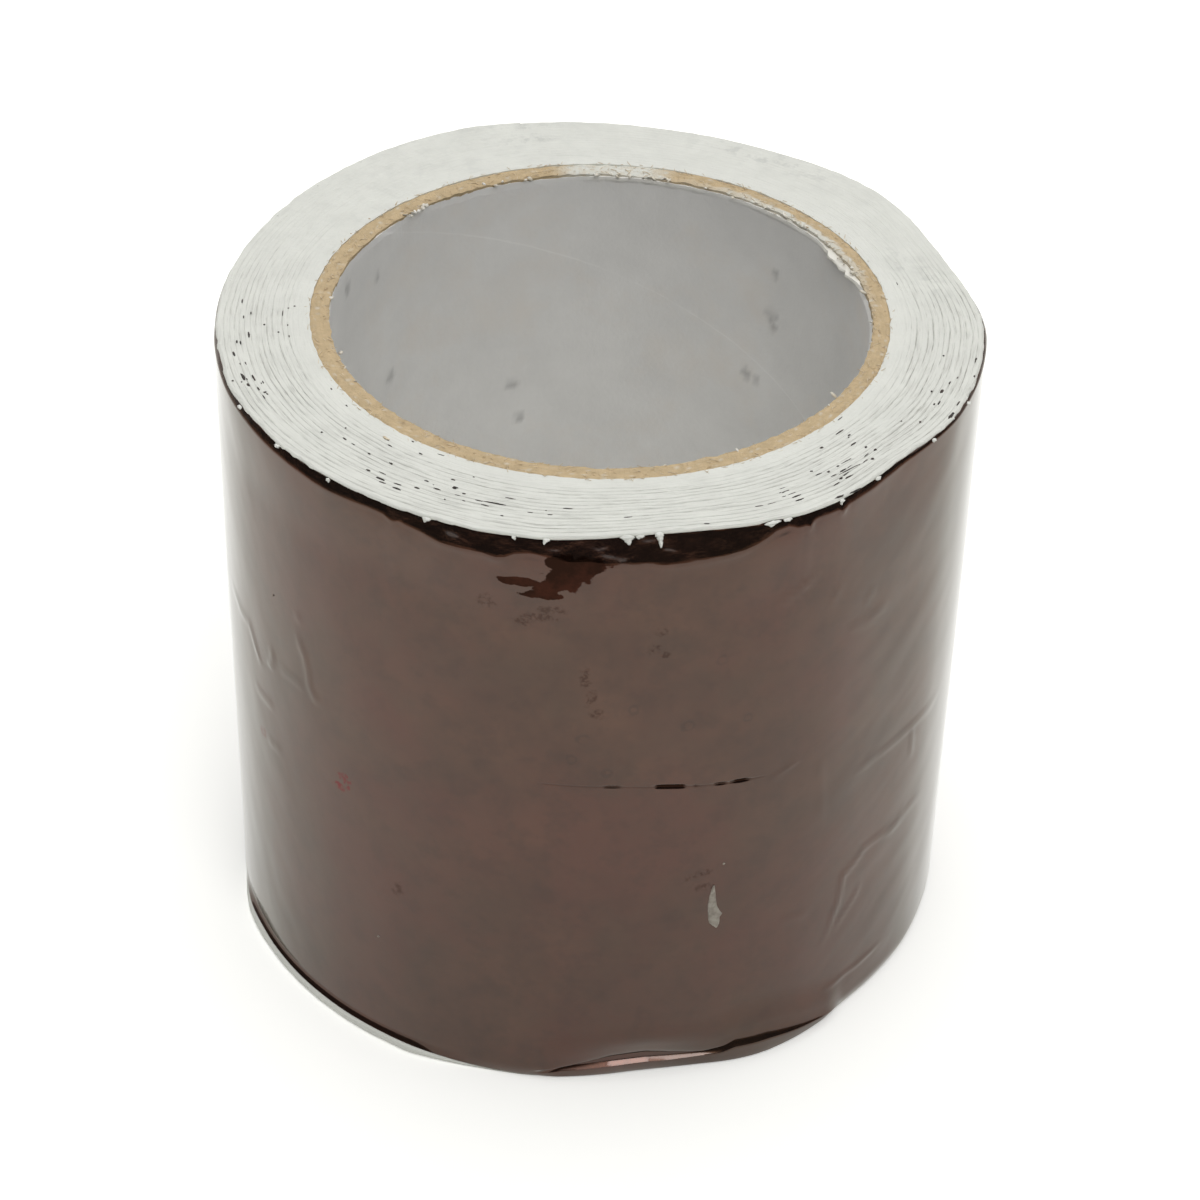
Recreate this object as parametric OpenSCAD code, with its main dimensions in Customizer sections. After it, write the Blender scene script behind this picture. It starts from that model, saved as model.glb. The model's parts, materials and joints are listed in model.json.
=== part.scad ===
// A roll of butyl sealing tape, standing on its end.
// White butyl with a brown film on its outside is wound on a lined kraft tube.
// The origin is on the roll's axis, in the plane that the roll stands on.

/* [Tape] */
// Width of the tape, which is the height of the standing roll
tape_w = 100; // [50:1:150]
// Thickness of one turn of the tape
tape_t = 0.82; // [0.6:0.01:1.2]
// Number of turns on the core
turns = 17; // [6:1:22]
// Thickness of the film on the outside of the tape
film_t = 0.25; // [0.1:0.05:0.4]
// Height by which the film stops short of each end face
film_gap = 0.3; // [0.2:0.1:0.6]
// Direction of the tape's free end, counted from the +X axis
end_angle = 104; // [0:1:359]

/* [Core] */
// Diameter of the hole through the lined core
bore_d = 77; // [40:0.5:100]
// Thickness of the paper lining
lining_t = 0.3; // [0.2:0.05:0.8]
// Thickness of the wall of the kraft tube
tube_t = 2.9; // [1.5:0.1:6]

/* [Lines between turns] */
// Depth of the line between two turns
line_depth = 0.35; // [0.1:0.05:0.6]
// Width of the line between two turns
line_w = 0.24; // [0.1:0.02:0.4]

/* [Pressed edges] */
// Slope of the fold below a pressed top edge, in degrees from upright
fold_slope = 32; // [20:1:60]
// How far the two rims are rounded in
rim_round = 0.5; // [0.1:0.1:0.8]
// Height of the rounding under the top edge
rim_h = 1.3; // [0.8:0.1:2]
// Height of the band that is pressed in or out above the base
base_h = 2.6; // [2.2:0.1:8]
// How far the butyl is squeezed out under the film at the base
bead_out = 0.5; // [0:0.1:1]
// Height of the butyl that shows under the film
bead_h = 1.5; // [0.8:0.1:2]
// Direction of the middle of the squeezed butyl
bead_angle = 222; // [0:1:359]

/* [Hidden] */

// Steps in each turn of the winding
steps = 40;
// Fine roundness of the core
$fn = 128;
// Angle from the middle of the squeezed butyl to where it ends
bead_half = 42;

// Places where the roll is pressed out of round, each with its direction, the
// angle to its two ends, and its depth at the top edge, on the wall and at the
// base. A depth below zero bulges.
PRESSED = [
    [20, 25, 2.2, 1.4, 1.2],
    [69, 42, 1.5, 0.9, 0.9],
    [112, 36, -0.5, -0.4, -0.4],
    [166, 52, 1.1, 0.6, 0.2],
    [280, 21, 1.6, 0.2, 2.2],
    [319, 16, 1.2, 0.5, 0.5]
];

bore_r = bore_d / 2;
lining_r = bore_r + lining_t;
core_r = lining_r + tube_t;
roll_r = core_r + turns * tape_t;

// The first line starts this far along the first turn, clear of the core
first_line = ceil(steps * min(0.9, 0.12 + (line_w / 2 + core_r * (1 - cos(180 / steps))) / tape_t));
// The last line ends where the outermost turn begins
last_line = (turns - 1) * steps;
// Steps over which a line grows to its full depth
taper = 4;
// Radius of the rough hole, which the core's own surface then trims
rough_r = core_r - tube_t / 2;

function direction(i) = end_angle - 360 * i / steps;
function apart(a, b) = abs(((a - b) % 360 + 540) % 360 - 180);
function swell(a, middle, half) = apart(a, middle) < half ? pow(cos(90 * apart(a, middle) / half), 2) : 0;
function total(list, i = 0) = i < len(list) ? list[i] + total(list, i + 1) : 0;
function blend(a, b, share) = a + (b - a) * min(1, max(0, share));

// Butyl squeezed out at the base, from 0 where there is none to 1
function squeezed(a) = min(1, 2 * swell(a, bead_angle, bead_half));
// Height of the film's lower edge
function film_foot(a) = blend(film_gap, bead_h, squeezed(a));

// Height of the fold below the top edge, which reaches further down where the edge is pressed in more
function fold_h(a) =
    1.4 * rim_h + total([for (p = PRESSED) swell(a, p[0], p[1]) * max(0, p[2] - p[3])]) / tan(fold_slope);
// How deep one pressed place is at a height
function pressed_depth(place, z, fold) =
    z > tape_w - fold
        ? blend(place[3], place[2], (z - tape_w + fold) / fold)
        : blend(place[4], place[3], z / base_h);
function pressed(a, z) = total([for (p = PRESSED) swell(a, p[0], p[1]) * pressed_depth(p, z, fold_h(a))]);
function rim(z) = rim_round * pow(max(0, 1 - (tape_w - z) / rim_h), 2);
function toe(a, z) =
    blend(-rim_round, bead_out, squeezed(a)) * (1 - max(0, min(1, (z - film_foot(a)) / (base_h - film_foot(a)))));

// Radius of the whole roll, as if its outermost turn went all the way round
function full_r(a, z) = roll_r - pressed(a, z) - rim(z) + toe(a, z);
// Radius of the winding after i steps, which grows by a turn's thickness each time round
function wound_r(i, z) = core_r + (full_r(direction(i), z) - core_r) * i / (turns * steps);
function at(i, r, z) = [r * cos(direction(i)), r * sin(direction(i)), z];

// Heights of the rings that the outside is drawn through, from the base up
function heights(a) = [
    0, film_foot(a), base_h, tape_w - fold_h(a), tape_w - rim_h, tape_w - film_gap, tape_w
];
rings = len(heights(0));
function outside(i, k, skin = 0) =
    let (z = heights(direction(i))[k])
    at(i, wound_r(i, z) - film_t + skin, z);

function quad(a, b, c, d) = [[a, b, c], [a, c, d]];
function flipped(face) = [for (k = [len(face) - 1:-1:0]) face[k]];
function flat_list(lists) = [for (l = lists) each l];

// The white winding as one body, with a spiral line between its turns on each end face
module wound_body() {
    // Points of one end face: the rough hole, then the bottom and the two lips of the spiral line
    lines = last_line - first_line;
    function strength(i) = min(1, (i - first_line) / taper, (last_line - i) / taper);
    function end_points(z, inward) = concat(
        [for (i = [0:steps - 1]) at(i, rough_r, z)],
        [for (i = [first_line:last_line - 1]) at(i, wound_r(i, z), z + inward * line_depth * strength(i))],
        [for (i = [first_line + 1:last_line - 1]) at(i, wound_r(i, z) + line_w / 2 * strength(i), z)],
        [for (i = [first_line + 1:last_line - 1]) at(i, wound_r(i, z) - line_w / 2 * strength(i), z)]
    );
    end_size = steps + lines + 2 * (lines - 1);
    walls = 2 * end_size;
    points = concat(
        end_points(0, 1),
        end_points(tape_w, -1),
        [for (k = [0:rings - 1], i = [last_line:last_line + steps]) outside(i, k)]
    );

    // Places in the list of points, with e = 0 for the lower end and 1 for the upper
    function wall(i, k) = walls + k * (steps + 1) + i - last_line;
    function edge(i, e) = wall(i, e * (rings - 1));
    function hole(i, e) = e * end_size + i % steps;
    function bottom(i, e) = i >= last_line ? edge(i, e) : e * end_size + steps + i - first_line;
    function lip(i, e, side) =
        i == first_line || i >= last_line
            ? bottom(i, e)
            : e * end_size + steps + lines + side * (lines - 1) + i - first_line - 1;
    function outer_lip(i, e) = lip(i, e, 0);
    function inner_lip(i, e) = lip(i, e, 1);

    function end_faces(e) = concat(
        flat_list([for (i = [first_line:first_line + steps - 2])
            quad(hole(i, e), inner_lip(i, e), inner_lip(i + 1, e), hole(i + 1, e))]),
        let (i = first_line + steps - 1)
        [
            [hole(i, e), inner_lip(i, e), inner_lip(i + 1, e)],
            [hole(i, e), inner_lip(i + 1, e), bottom(first_line, e)],
            [hole(i, e), bottom(first_line, e), hole(i + 1, e)]
        ],
        flat_list([for (i = [first_line:last_line - 1])
            quad(outer_lip(i, e), inner_lip(i + steps, e), inner_lip(i + steps + 1, e), outer_lip(i + 1, e))]),
        flat_list([for (i = [first_line + 1:last_line - 2]) concat(
            quad(bottom(i, e), outer_lip(i, e), outer_lip(i + 1, e), bottom(i + 1, e)),
            quad(inner_lip(i, e), bottom(i, e), bottom(i + 1, e), inner_lip(i + 1, e)))]),
        let (a = first_line, b = first_line + 1, c = last_line - 1, d = last_line)
        [
            [bottom(a, e), outer_lip(b, e), bottom(b, e)],
            [bottom(a, e), bottom(b, e), inner_lip(b, e)],
            [bottom(c, e), outer_lip(c, e), bottom(d, e)],
            [inner_lip(c, e), bottom(c, e), bottom(d, e)]
        ]
    );
    wall_faces = flat_list([for (k = [0:rings - 2]) concat(
        flat_list([for (i = [last_line:last_line + steps - 1])
            quad(wall(i, k), wall(i + 1, k), wall(i + 1, k + 1), wall(i, k + 1))]),
        quad(wall(last_line, k), wall(last_line, k + 1), wall(last_line + steps, k + 1), wall(last_line + steps, k)))]);
    hole_faces = flat_list([for (i = [0:steps - 1])
        quad(hole(i, 0), hole(i, 1), hole(i + 1, 1), hole(i + 1, 0))]);
    polyhedron(
        points,
        concat([for (f = end_faces(0)) flipped(f)], end_faces(1), wall_faces, hole_faces),
        convexity = 4
    );
}

module core_lining() {
    color([0.80, 0.80, 0.79])
    difference() {
        cylinder(r = lining_r, h = tape_w);
        translate([0, 0, -1]) cylinder(r = bore_r, h = tape_w + 2);
    }
}

module core_tube() {
    color([0.76, 0.60, 0.41])
    difference() {
        cylinder(r = core_r, h = tape_w);
        translate([0, 0, -1]) cylinder(r = lining_r, h = tape_w + 2);
    }
}

module tape_winding() {
    color([0.88, 0.89, 0.86])
    difference() {
        wound_body();
        translate([0, 0, -1]) cylinder(r = core_r, h = tape_w + 2);
    }
}

// The brown skin, once round the roll from the free end to where it goes under it
module foil_facing() {
    last_ring = rings - 2;
    side = last_ring * (steps + 1);
    points = [for (skin = [0, film_t], k = [1:last_ring], i = [last_line:last_line + steps]) outside(i, k, skin)];
    function inner(i, k) = (k - 1) * (steps + 1) + i;
    function outer(i, k) = side + inner(i, k);
    faces = concat(
        flat_list([for (k = [1:last_ring - 1], i = [0:steps - 1]) concat(
            quad(outer(i, k), outer(i + 1, k), outer(i + 1, k + 1), outer(i, k + 1)),
            quad(inner(i, k), inner(i, k + 1), inner(i + 1, k + 1), inner(i + 1, k)))]),
        flat_list([for (i = [0:steps - 1]) concat(
            quad(inner(i, last_ring), outer(i, last_ring), outer(i + 1, last_ring), inner(i + 1, last_ring)),
            quad(inner(i, 1), inner(i + 1, 1), outer(i + 1, 1), outer(i, 1)))]),
        flat_list([for (k = [1:last_ring - 1]) concat(
            quad(inner(0, k), outer(0, k), outer(0, k + 1), inner(0, k + 1)),
            quad(inner(steps, k), inner(steps, k + 1), outer(steps, k + 1), outer(steps, k)))])
    );
    color([0.30, 0.18, 0.15]) polyhedron(points, faces, convexity = 4);
}

core_lining();
core_tube();
tape_winding();
foil_facing();
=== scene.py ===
"""A roll of white butyl tape with a glossy brown film on its outside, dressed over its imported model."""

import json
import math
import bpy
import bmesh
import numpy as np
from bpy.props import FloatProperty, FloatVectorProperty, IntProperty, PointerProperty
from mathutils import Matrix, Vector, noise


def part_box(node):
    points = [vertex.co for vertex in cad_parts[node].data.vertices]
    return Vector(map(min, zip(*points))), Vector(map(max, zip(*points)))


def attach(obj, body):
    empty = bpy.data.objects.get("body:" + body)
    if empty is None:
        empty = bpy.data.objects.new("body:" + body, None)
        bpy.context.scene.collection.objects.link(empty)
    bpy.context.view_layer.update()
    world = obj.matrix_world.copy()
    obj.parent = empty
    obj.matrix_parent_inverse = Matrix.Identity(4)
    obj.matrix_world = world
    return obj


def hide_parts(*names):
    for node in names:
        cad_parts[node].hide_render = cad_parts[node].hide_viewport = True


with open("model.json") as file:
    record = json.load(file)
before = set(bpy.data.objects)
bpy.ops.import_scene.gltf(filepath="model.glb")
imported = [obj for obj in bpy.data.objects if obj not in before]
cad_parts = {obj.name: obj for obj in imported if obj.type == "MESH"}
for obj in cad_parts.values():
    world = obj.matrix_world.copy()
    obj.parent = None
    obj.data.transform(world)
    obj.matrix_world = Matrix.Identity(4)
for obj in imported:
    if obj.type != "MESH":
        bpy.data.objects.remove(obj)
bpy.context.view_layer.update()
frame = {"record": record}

bl_info = {
    "name": "Butyl tape roll",
    "version": (1, 0, 0),
    "blender": (4, 5, 0),
    "location": "View3D > Sidebar > Tape roll",
    "description": "Dresses a roll of butyl foil tape: the winding, its film, the core and the studio",
    "category": "Object",
}

MM = 0.001
BODY = "root"
# Length of one degree round the film, in millimetres
ARC = 0.965
# Length of one degree round the hole, in millimetres
BORE_ARC = 0.67

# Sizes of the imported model, in millimetres
TAPE_W = round(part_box("tape_winding")[1].z / MM, 2)
CORE_R = round(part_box("core_tube")[1].x / MM, 2)
LINING_R = round(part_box("core_lining")[1].x / MM, 2)
BORE_R = frame["record"]["mounts"][0]["dims"]["r_mm"]

# Places where the roll is pressed out of round: direction, angle to its two ends,
# and depth at the top edge, on the wall and at the base
PRESSED = (
    (20, 25, 2.2, 1.4, 1.2),
    (69, 42, 1.5, 0.9, 0.9),
    (112, 36, -0.5, -0.4, -0.4),
    (166, 52, 1.1, 0.6, 0.2),
    (280, 21, 1.6, 0.2, 2.2),
    (319, 16, 1.2, 0.5, 0.5),
)
# How far the rims are rounded in, and height of the band that is pressed above the base
RIM_ROUND = 0.5
BASE_H = 2.6
# Butyl squeezed out under the film: direction, angle to its two ends, height, reach of the film's
# foot, and reach of the butyl beyond the film
BEAD = (222, 42, 1.5, 0.62, 0.5)
# Angle over which the tape's free end thins out
END_TAPER = 8.0

# The film folds inwards below its top edge: direction and height of the fold
FOLDS = (
    (-165, 0.8), (-150, 1.1), (-140, 1.4), (-130, 1.7), (-120, 1.6), (-118.4, 2.2), (-117.4, 1.9),
    (-114.4, 2.3), (-111.3, 2.9), (-108, 3.1), (-105, 3.1), (-103.2, 3.4), (-101.8, 3.2), (-100.5, 2.5),
    (-98.6, 2.3), (-96, 2.7), (-93.4, 3.4), (-90.8, 3.5), (-88.2, 3.9), (-83, 4.1), (-80.4, 4.4),
    (-77.7, 4.4), (-75, 4.2), (-72.3, 3.9), (-69.5, 3.5), (-66.7, 2.6), (-64.4, 1.7), (-62.5, 1.4),
    (-61, 1.9), (-59.9, 1.8), (-59.3, 2.3), (-58.6, 1.5), (-54.4, 1.5), (-53.5, 2.0), (-52.8, 1.4),
    (-47, 1.3), (-40, 0.9), (-30, 0.6), (-20, 0.5), (0, 0.6), (20, 1.6), (45, 0.9), (69, 1.8), (95, 0.7),
    (130, 0.6), (166, 1.2), (185, 0.7),
)
# How far the fold leans in for each millimetre of its height, by direction
LEANS = (
    (-165, 0.88), (-140, 0.66), (-115, 0.5), (-90, 0.45), (-65, 0.5), (-40, 0.66), (-15, 0.88), (90, 0.6),
)
# Height over which the wall blends into the fold
FOLD_BLEND = 12.0
# Height of the butyl's top edge where it bulges most
LIP_HEIGHT = TAPE_W - 0.42
# How far that edge stands out over the film's inner side, by direction
LIPS = (
    (-175, 0.5), (-168, 0.15), (-163, 0.2), (-158, 0.45), (-150, 0.2), (-140, 0.3), (-115, 0.45),
    (-100, 0.5), (-80, 0.5), (-60, 0.45), (-50, 0.35), (-40, 0.2), (-25, 0.1), (-12, 0.15), (0, 0.2),
    (10, 0.4), (25, 0.5), (60, 0.55), (120, 0.55), (160, 0.55),
)

# A cut across the film: direction and height, then where and how far it is open
SLIT = ((-97, 58.0), (-85.5, 57.8), (-79, 57.3), (-73.8, 56.6), (-70.3, 56.3), (-64, 55.8))
SLIT_OPEN = (
    (-97, -63.5, 0.14), (-88.4, -84.8, 0.4), (-80.6, -75.5, 0.9), (-75.0, -73.4, 0.5), (-71.8, -69.4, 0.6),
    (-69.2, -65.8, 0.75),
)
# A pinch above the film's foot: direction, height of its crease, height of the slope below the
# crease, how far the lip below that stands out, and how far the bulge above it does
PINCH = (
    (-98, 1.0, 0.4, 0.35, 1.1), (-93, 2.5, 0.7, 0.6, 1.1), (-88.7, 3.3, 1.1, 1.0, 1.1),
    (-85.5, 3.8, 1.35, 1.3, 1.1), (-80, 4.0, 1.4, 1.3, 1.15), (-76.4, 3.6, 1.2, 1.15, 1.2),
    (-71, 3.2, 0.8, 0.8, 1.3), (-67.7, 3.9, 1.3, 0.9, 1.35), (-65.8, 5.0, 1.6, 1.0, 1.35),
    (-60, 4.9, 1.6, 1.0, 1.35), (-54, 3.4, 1.2, 0.75, 1.35), (-48, 1.7, 0.6, 0.4, 1.35),
    (-44, 0.8, 0.3, 0.2, 1.35),
)
# Depth of the crease over the film's base, and height of the bulge over the crease
PINCH_DEPTH = 0.2
PINCH_BULGE = 0.6
# How far the film's foot is pushed in below the pinch
PINCH_SHIFT = 0.3

# Creases in the film: its points as direction and height, then the ridge's height and half width
CREASES = (
    (((-48.1, 48.6), (-39.7, 48.4), (-29.4, 48.2), (-19.9, 48.0)), 0.15, 0.45),
    (((-51, 15.3), (-48.7, 20.3), (-46.7, 28.8), (-41.9, 31.1), (-33.5, 30.8), (-30.5, 33.4)), 0.16, 0.5),
    (((-48.1, 18.1), (-43.6, 22.5), (-41.7, 24.9)), 0.12, 0.45),
    (((-50.8, 7.5), (-43.5, 7.1), (-34, 7.4)), 0.13, 0.5),
    (((-37.3, 29.8), (-29.4, 31.3), (-24.1, 30.9)), 0.1, 0.5),
    (((-64.2, 85.9), (-60.5, 86.9), (-56.6, 89.2)), 0.14, 0.42),
    (((-60.1, 26.0), (-53.6, 25.6)), 0.06, 0.6),
    (((-63.4, 54.2), (-57.6, 56.9)), 0.07, 0.6),
    (((-50.8, 76.3), (-45.9, 75.9), (-41.2, 76.9)), 0.1, 0.6),
    (((-47.6, 79.4), (-44.6, 80.9)), 0.1, 0.5),
    (((-54.5, 82.1), (-52.4, 85.3)), 0.08, 0.5),
    (((-31.7, 48.3), (-30.5, 41.6)), 0.1, 0.5),
    (((-54.0, 56.1), (-52.4, 42.2)), 0.06, 0.8),
    (((-165.2, 62.1), (-157.3, 61.1), (-153.4, 61.1), (-151.8, 58.7), (-149.8, 56.5), (-147.4, 56.2)),
     0.13, 0.5),
    (((-145.7, 62.1), (-145.3, 60.4), (-146.5, 57.4)), 0.14, 0.45),
    (((-138.9, 70.2), (-137.6, 68.2), (-136.3, 66.2), (-135.5, 61.2), (-134.5, 59.6), (-131.1, 59.7)),
     0.13, 0.5),
    (((-138.4, 73.0), (-137.0, 72.1)), 0.1, 0.5),
    (((-143.5, 59.4), (-139.3, 60.3), (-136.6, 60.1)), 0.09, 0.5),
    (((-152.7, 51.4), (-149.6, 50.4), (-144.9, 50.9)), 0.12, 0.5),
    (((-148.3, 43.1), (-143.7, 43.8)), 0.1, 0.5),
    (((-91.2, 79), (-90.2, 75), (-89, 71.1)), -0.08, 0.4),
)

# Marks on the film, each an ellipse: direction, height, half width and half height; the patches are painted
# reflection, film painted dark and left without its coat where tilted film would mirror the dark room
DARK_REFLECTION_PATCHES = (
    (-93.6, 94.2, 2.9, 2.3), (-91.2, 95.8, 3.4, 1.5), (-99.4, 93.0, 3.2, 0.7), (-96.2, 92.4, 1.8, 1.3),
    (-96.8, 91.0, 2.7, 0.65), (-94.0, 96.3, 2.2, 1.2),
)
STAINS = (
    (-72.7, 40.1, 0.75, 0.4), (-74.3, 39.6, 0.7, 0.35), (-72.5, 37.4, 1.0, 0.45), (-119.3, 31.6, 0.55, 0.8),
    (-97.6, 87.0, 1.3, 0.5), (-95.4, 88.4, 1.2, 0.45), (-99.6, 86.0, 0.8, 0.4), (-90.8, 77.0, 0.45, 1.0),
    (-89.9, 73.8, 0.5, 0.9), (-89.1, 70.8, 0.6, 0.5), (-80.3, 84.5, 0.6, 0.35), (-81.2, 81.6, 0.5, 0.5),
    (-79.6, 80.6, 0.4, 0.3), (-104.5, 88.5, 0.7, 0.8),
)
# Faint red marks on the film, in the same way
RED_MARKS = (
    (-128.8, 48.1, 0.8, 0.45), (-128.3, 47.2, 0.35, 0.6), (-129.7, 45.9, 0.75, 0.45),
    (-149.9, 43.2, 0.5, 0.6),
)
# Faint rings on the film: direction, height and radius
DULL_RINGS = (
    (-90.8, 66.3, 0.8), (-92.5, 62.7, 0.7), (-67.0, 67.4, 0.6), (-75.9, 67.8, 0.8), (-71.4, 78.4, 0.7),
    (-83.9, 71.5, 0.6), (-87.3, 60.4, 0.6),
)

# Where the film's edge shows between the turns: direction, radius, spread along and across, chance
SPECKS = (
    (-168.0, 51.6, 4.0, 0.9, 0.1), (-158.5, 52.3, 3.4, 0.9, 0.2), (-154.5, 50.8, 2.4, 0.6, 0.15),
    (-175, 44.8, 6.0, 1.0, 0.06), (-122, 50.9, 4.0, 1.2, 0.15), (-113.5, 48.6, 5.0, 1.3, 0.14),
    (-104, 49.0, 7.0, 1.4, 0.1), (-59.8, 50.6, 4.0, 1.2, 0.14), (-49.5, 50.8, 5.0, 1.4, 0.12),
    (-43.0, 46.5, 4.0, 2.4, 0.06), (-22.5, 51.2, 2.6, 0.6, 0.15), (-15, 54.2, 8.0, 0.4, 0.25),
    (-90, 46, 60, 9.0, 0.004),
)
# The larger gaps that show the film's edge: direction, radius, length and width
GAPS = (
    (-170.1, 50.1, 1.7, 0.3), (-175.4, 50.7, 0.7, 0.18), (-176.6, 49.7, 0.6, 0.18),
    (-176.5, 45.2, 1.3, 0.14), (-178.8, 43.6, 0.3, 0.3), (-172.9, 47.8, 0.3, 0.3),
    (-172.4, 44.5, 0.3, 0.2), (-170.3, 45.9, 0.3, 0.3), (-165.1, 52.7, 1.2, 0.3),
    (-168.4, 51.9, 0.7, 0.22), (-158.6, 52.7, 1.7, 0.4), (-156.3, 52.6, 0.7, 0.4),
    (-157.8, 51.4, 1.6, 0.3), (-154.7, 51.6, 0.9, 0.22), (-153.4, 51.1, 0.45, 0.4),
    (-156.2, 50.5, 0.6, 0.14), (-158.1, 54.3, 0.3, 0.3), (-139.1, 49.1, 0.35, 0.3),
    (-137.6, 46.0, 0.3, 0.22), (-128.5, 44.6, 0.7, 0.22), (-126.2, 41.9, 0.4, 0.17),
    (-122.7, 43.5, 0.6, 0.17), (-125.0, 47.6, 0.6, 0.22), (-126.6, 50.7, 0.7, 0.28),
    (-123.8, 51.2, 1.5, 0.26), (-120.4, 51.8, 1.2, 0.28), (-117.9, 50.3, 0.8, 0.3),
    (-117.6, 48.3, 0.7, 0.17), (-115.1, 49.2, 0.9, 0.14), (-114.0, 46.4, 0.6, 0.2),
    (-112.8, 48.0, 0.6, 0.28), (-105.4, 49.2, 2.9, 0.13), (-103.5, 47.6, 1.5, 0.13),
    (-111.2, 44.7, 0.3, 0.2), (-21.3, 51.0, 1.1, 0.42), (-22.0, 49.7, 0.4, 0.25),
    (-25.2, 51.1, 0.4, 0.25), (-26.8, 54.2, 1.7, 0.45), (-23.4, 54.0, 1.4, 0.22),
    (-20.3, 54.8, 0.8, 0.19), (-15.6, 54.3, 0.6, 0.26), (-30.7, 51.2, 0.4, 0.28), (-32.2, 49.0, 0.3, 0.2),
    (-41.3, 43.9, 1.9, 0.2), (-41.0, 45.3, 0.55, 0.28), (-47.3, 44.7, 0.5, 0.36),
    (-41.8, 48.7, 0.4, 0.36), (-41.3, 50.0, 0.5, 0.36), (-43.5, 51.1, 0.5, 0.45),
    (-46.9, 49.1, 2.2, 0.18), (-48.2, 50.7, 3.6, 0.18), (-53.2, 48.0, 0.5, 0.36),
    (-51.1, 49.4, 0.5, 0.36), (-50.7, 51.5, 0.55, 0.28), (-48.9, 49.2, 0.5, 0.25),
    (-11.2, 49.3, 0.3, 0.25), (-53.8, 54.6, 1.6, 0.35), (-51.0, 54.8, 1.8, 0.3), (-149.4, 42.6, 0.5, 0.2),
    (-143.2, 42.8, 0.45, 0.18),
)
# How open the lines between the turns are, by direction
OPEN_LINES = (
    (-178, 0.62), (-150, 0.85), (-120, 1.0), (-60, 1.0), (-30, 1.0), (0, 0.9), (10, 0.6), (22, 0.2),
    (60, 0.12), (95, 0.06), (130, 0.05), (150, 0.1), (168, 0.4),
)
# Grey smears on the top face: direction, radius, half angle and half width
SMEARS = (
    (20.7, 45.8, 5, 1.6), (12.5, 49.4, 6, 2.2), (104.5, 53.4, 5, 2.4), (103.5, 49.6, 4, 1.2),
    (60, 51, 14, 2.5),
)
# Dark smudges on the lining: direction, height and half size
SCUFFS = (
    (46.8, 89.4, 0.6), (47.2, 81.6, 1.0), (46.6, 79.6, 0.7), (53.2, 69.5, 0.9), (50.4, 69.0, 0.7),
    (164.2, 96.0, 1.1), (150.0, 92.6, 0.7), (146.4, 73.3, 1.1), (111.1, 62.7, 1.0), (109.3, 56.1, 0.8),
)
# Pale tufts of torn lining: direction, half angle and strength
TUFTS = (
    (17, 8, 0.2), (27, 7, 0.2), (37, 6, 0.2), (47, 7, 0.2), (57, 6, 0.2), (-150, 5, 0.12), (-141, 5, 0.12),
    (178, 4, 0.1), (78, 5, 0.15), (88, 10, 0.2), (110, 6, 0.2), (137, 5, 0.3),
)

# Drips of butyl over the film's edge: direction, how far it hangs down, and half its width at the top
DRIPS = (
    (-152, 0.08, 0.45), (-140.8, 0.16, 0.5), (-129.9, 0.2, 0.25), (-113.4, 0.38, 0.62),
    (-100.9, 0.26, 0.28), (-96.5, 0.5, 0.45), (-85.4, 0.8, 0.95), (-83.6, 0.25, 0.6), (-80.9, 1.45, 0.55),
    (-64.8, 0.36, 1.1), (-62.6, 0.2, 0.6), (-53.6, 0.4, 0.4), (-46, 0.12, 0.5), (-33, 0.12, 0.3),
    (-22, 0.1, 0.4),
)
# Small bits stuck on the film: direction, height and half size
STUCK = ((-69.4, 41.1, 0.2), (-123.1, 20.3, 0.18), (-93.4, 4.4, 0.22), (-144.1, 72.2, 0.13))
# A chip of kraft board on the top face: direction, radius, half length and half width
CHIP = (-130.5, 43.7, 0.5, 0.25)
# The shred stuck on the film: height, direction of its middle and half width
SHRED = (
    (37.3, -70.8, 0.12), (36.4, -70.85, 0.3), (35.5, -70.9, 0.48), (34.4, -70.9, 0.6),
    (33.3, -70.85, 0.72), (32.3, -70.6, 0.9), (31.5, -70.3, 1.15), (30.9, -70.5, 0.9),
    (30.2, -70.4, 0.85), (29.6, -70.2, 0.6), (29.1, -70.1, 0.2),
)

# The photograph's viewpoint: angles in degrees, lens and place in millimetres
CAMERA_DOWN = 37.68
CAMERA_ROLL = 1.42
CAMERA_LENS = 97.16
CAMERA_PLACE = (0.973, -391.280, 349.966)
# The soft lamp: place and side in metres
LAMP_PLACE = (0.29, -0.75, 1.1)
LAMP_SIDE = 0.42


# Shape of the roll

def wrap(angle, low=-180):
    """The same direction, within the turn that starts at the low one."""
    return (angle - low) % 360 + low


def swell(angle, middle, half):
    """A smooth bump round the roll, 1 at its middle and 0 beyond its half angle."""
    apart = np.abs(wrap(angle - middle))
    return np.where(apart < half, np.cos(np.radians(90 * apart / half)) ** 2, 0)


def blend(a, b, share):
    return a + (b - a) * np.clip(share, 0, 1)


def smooth(share):
    share = np.clip(share, 0, 1)
    return share * share * (3 - 2 * share)


def follow(knots, angle):
    """Value at each direction between knots of direction and value that run once round."""
    x, y = zip(*knots)
    return np.interp(wrap(angle, x[0]), x + (x[0] + 360,), y + (y[0],))


def bumps(points, size, seed):
    """Smooth noise of about -1 to 1 at points in millimetres, with bumps of that size."""
    flat = np.asarray(points, float).reshape(-1, 3) / size + seed * 7.31
    values = np.fromiter((noise.noise(p) for p in flat.tolist()), float, len(flat))
    return values.reshape(np.shape(points)[:-1])


def polar(radius, angle, z):
    """Points from radius, direction in degrees and height."""
    a = np.radians(angle)
    radius, a, z = np.broadcast_arrays(radius, a, z)
    return np.stack((radius * np.cos(a), radius * np.sin(a), z), axis=-1)


def squeezed(angle):
    return np.minimum(1, 2 * swell(angle, BEAD[0], BEAD[1]))


def film_foot(angle, size):
    return blend(size.film_gap / MM, BEAD[2], squeezed(angle))


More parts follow.
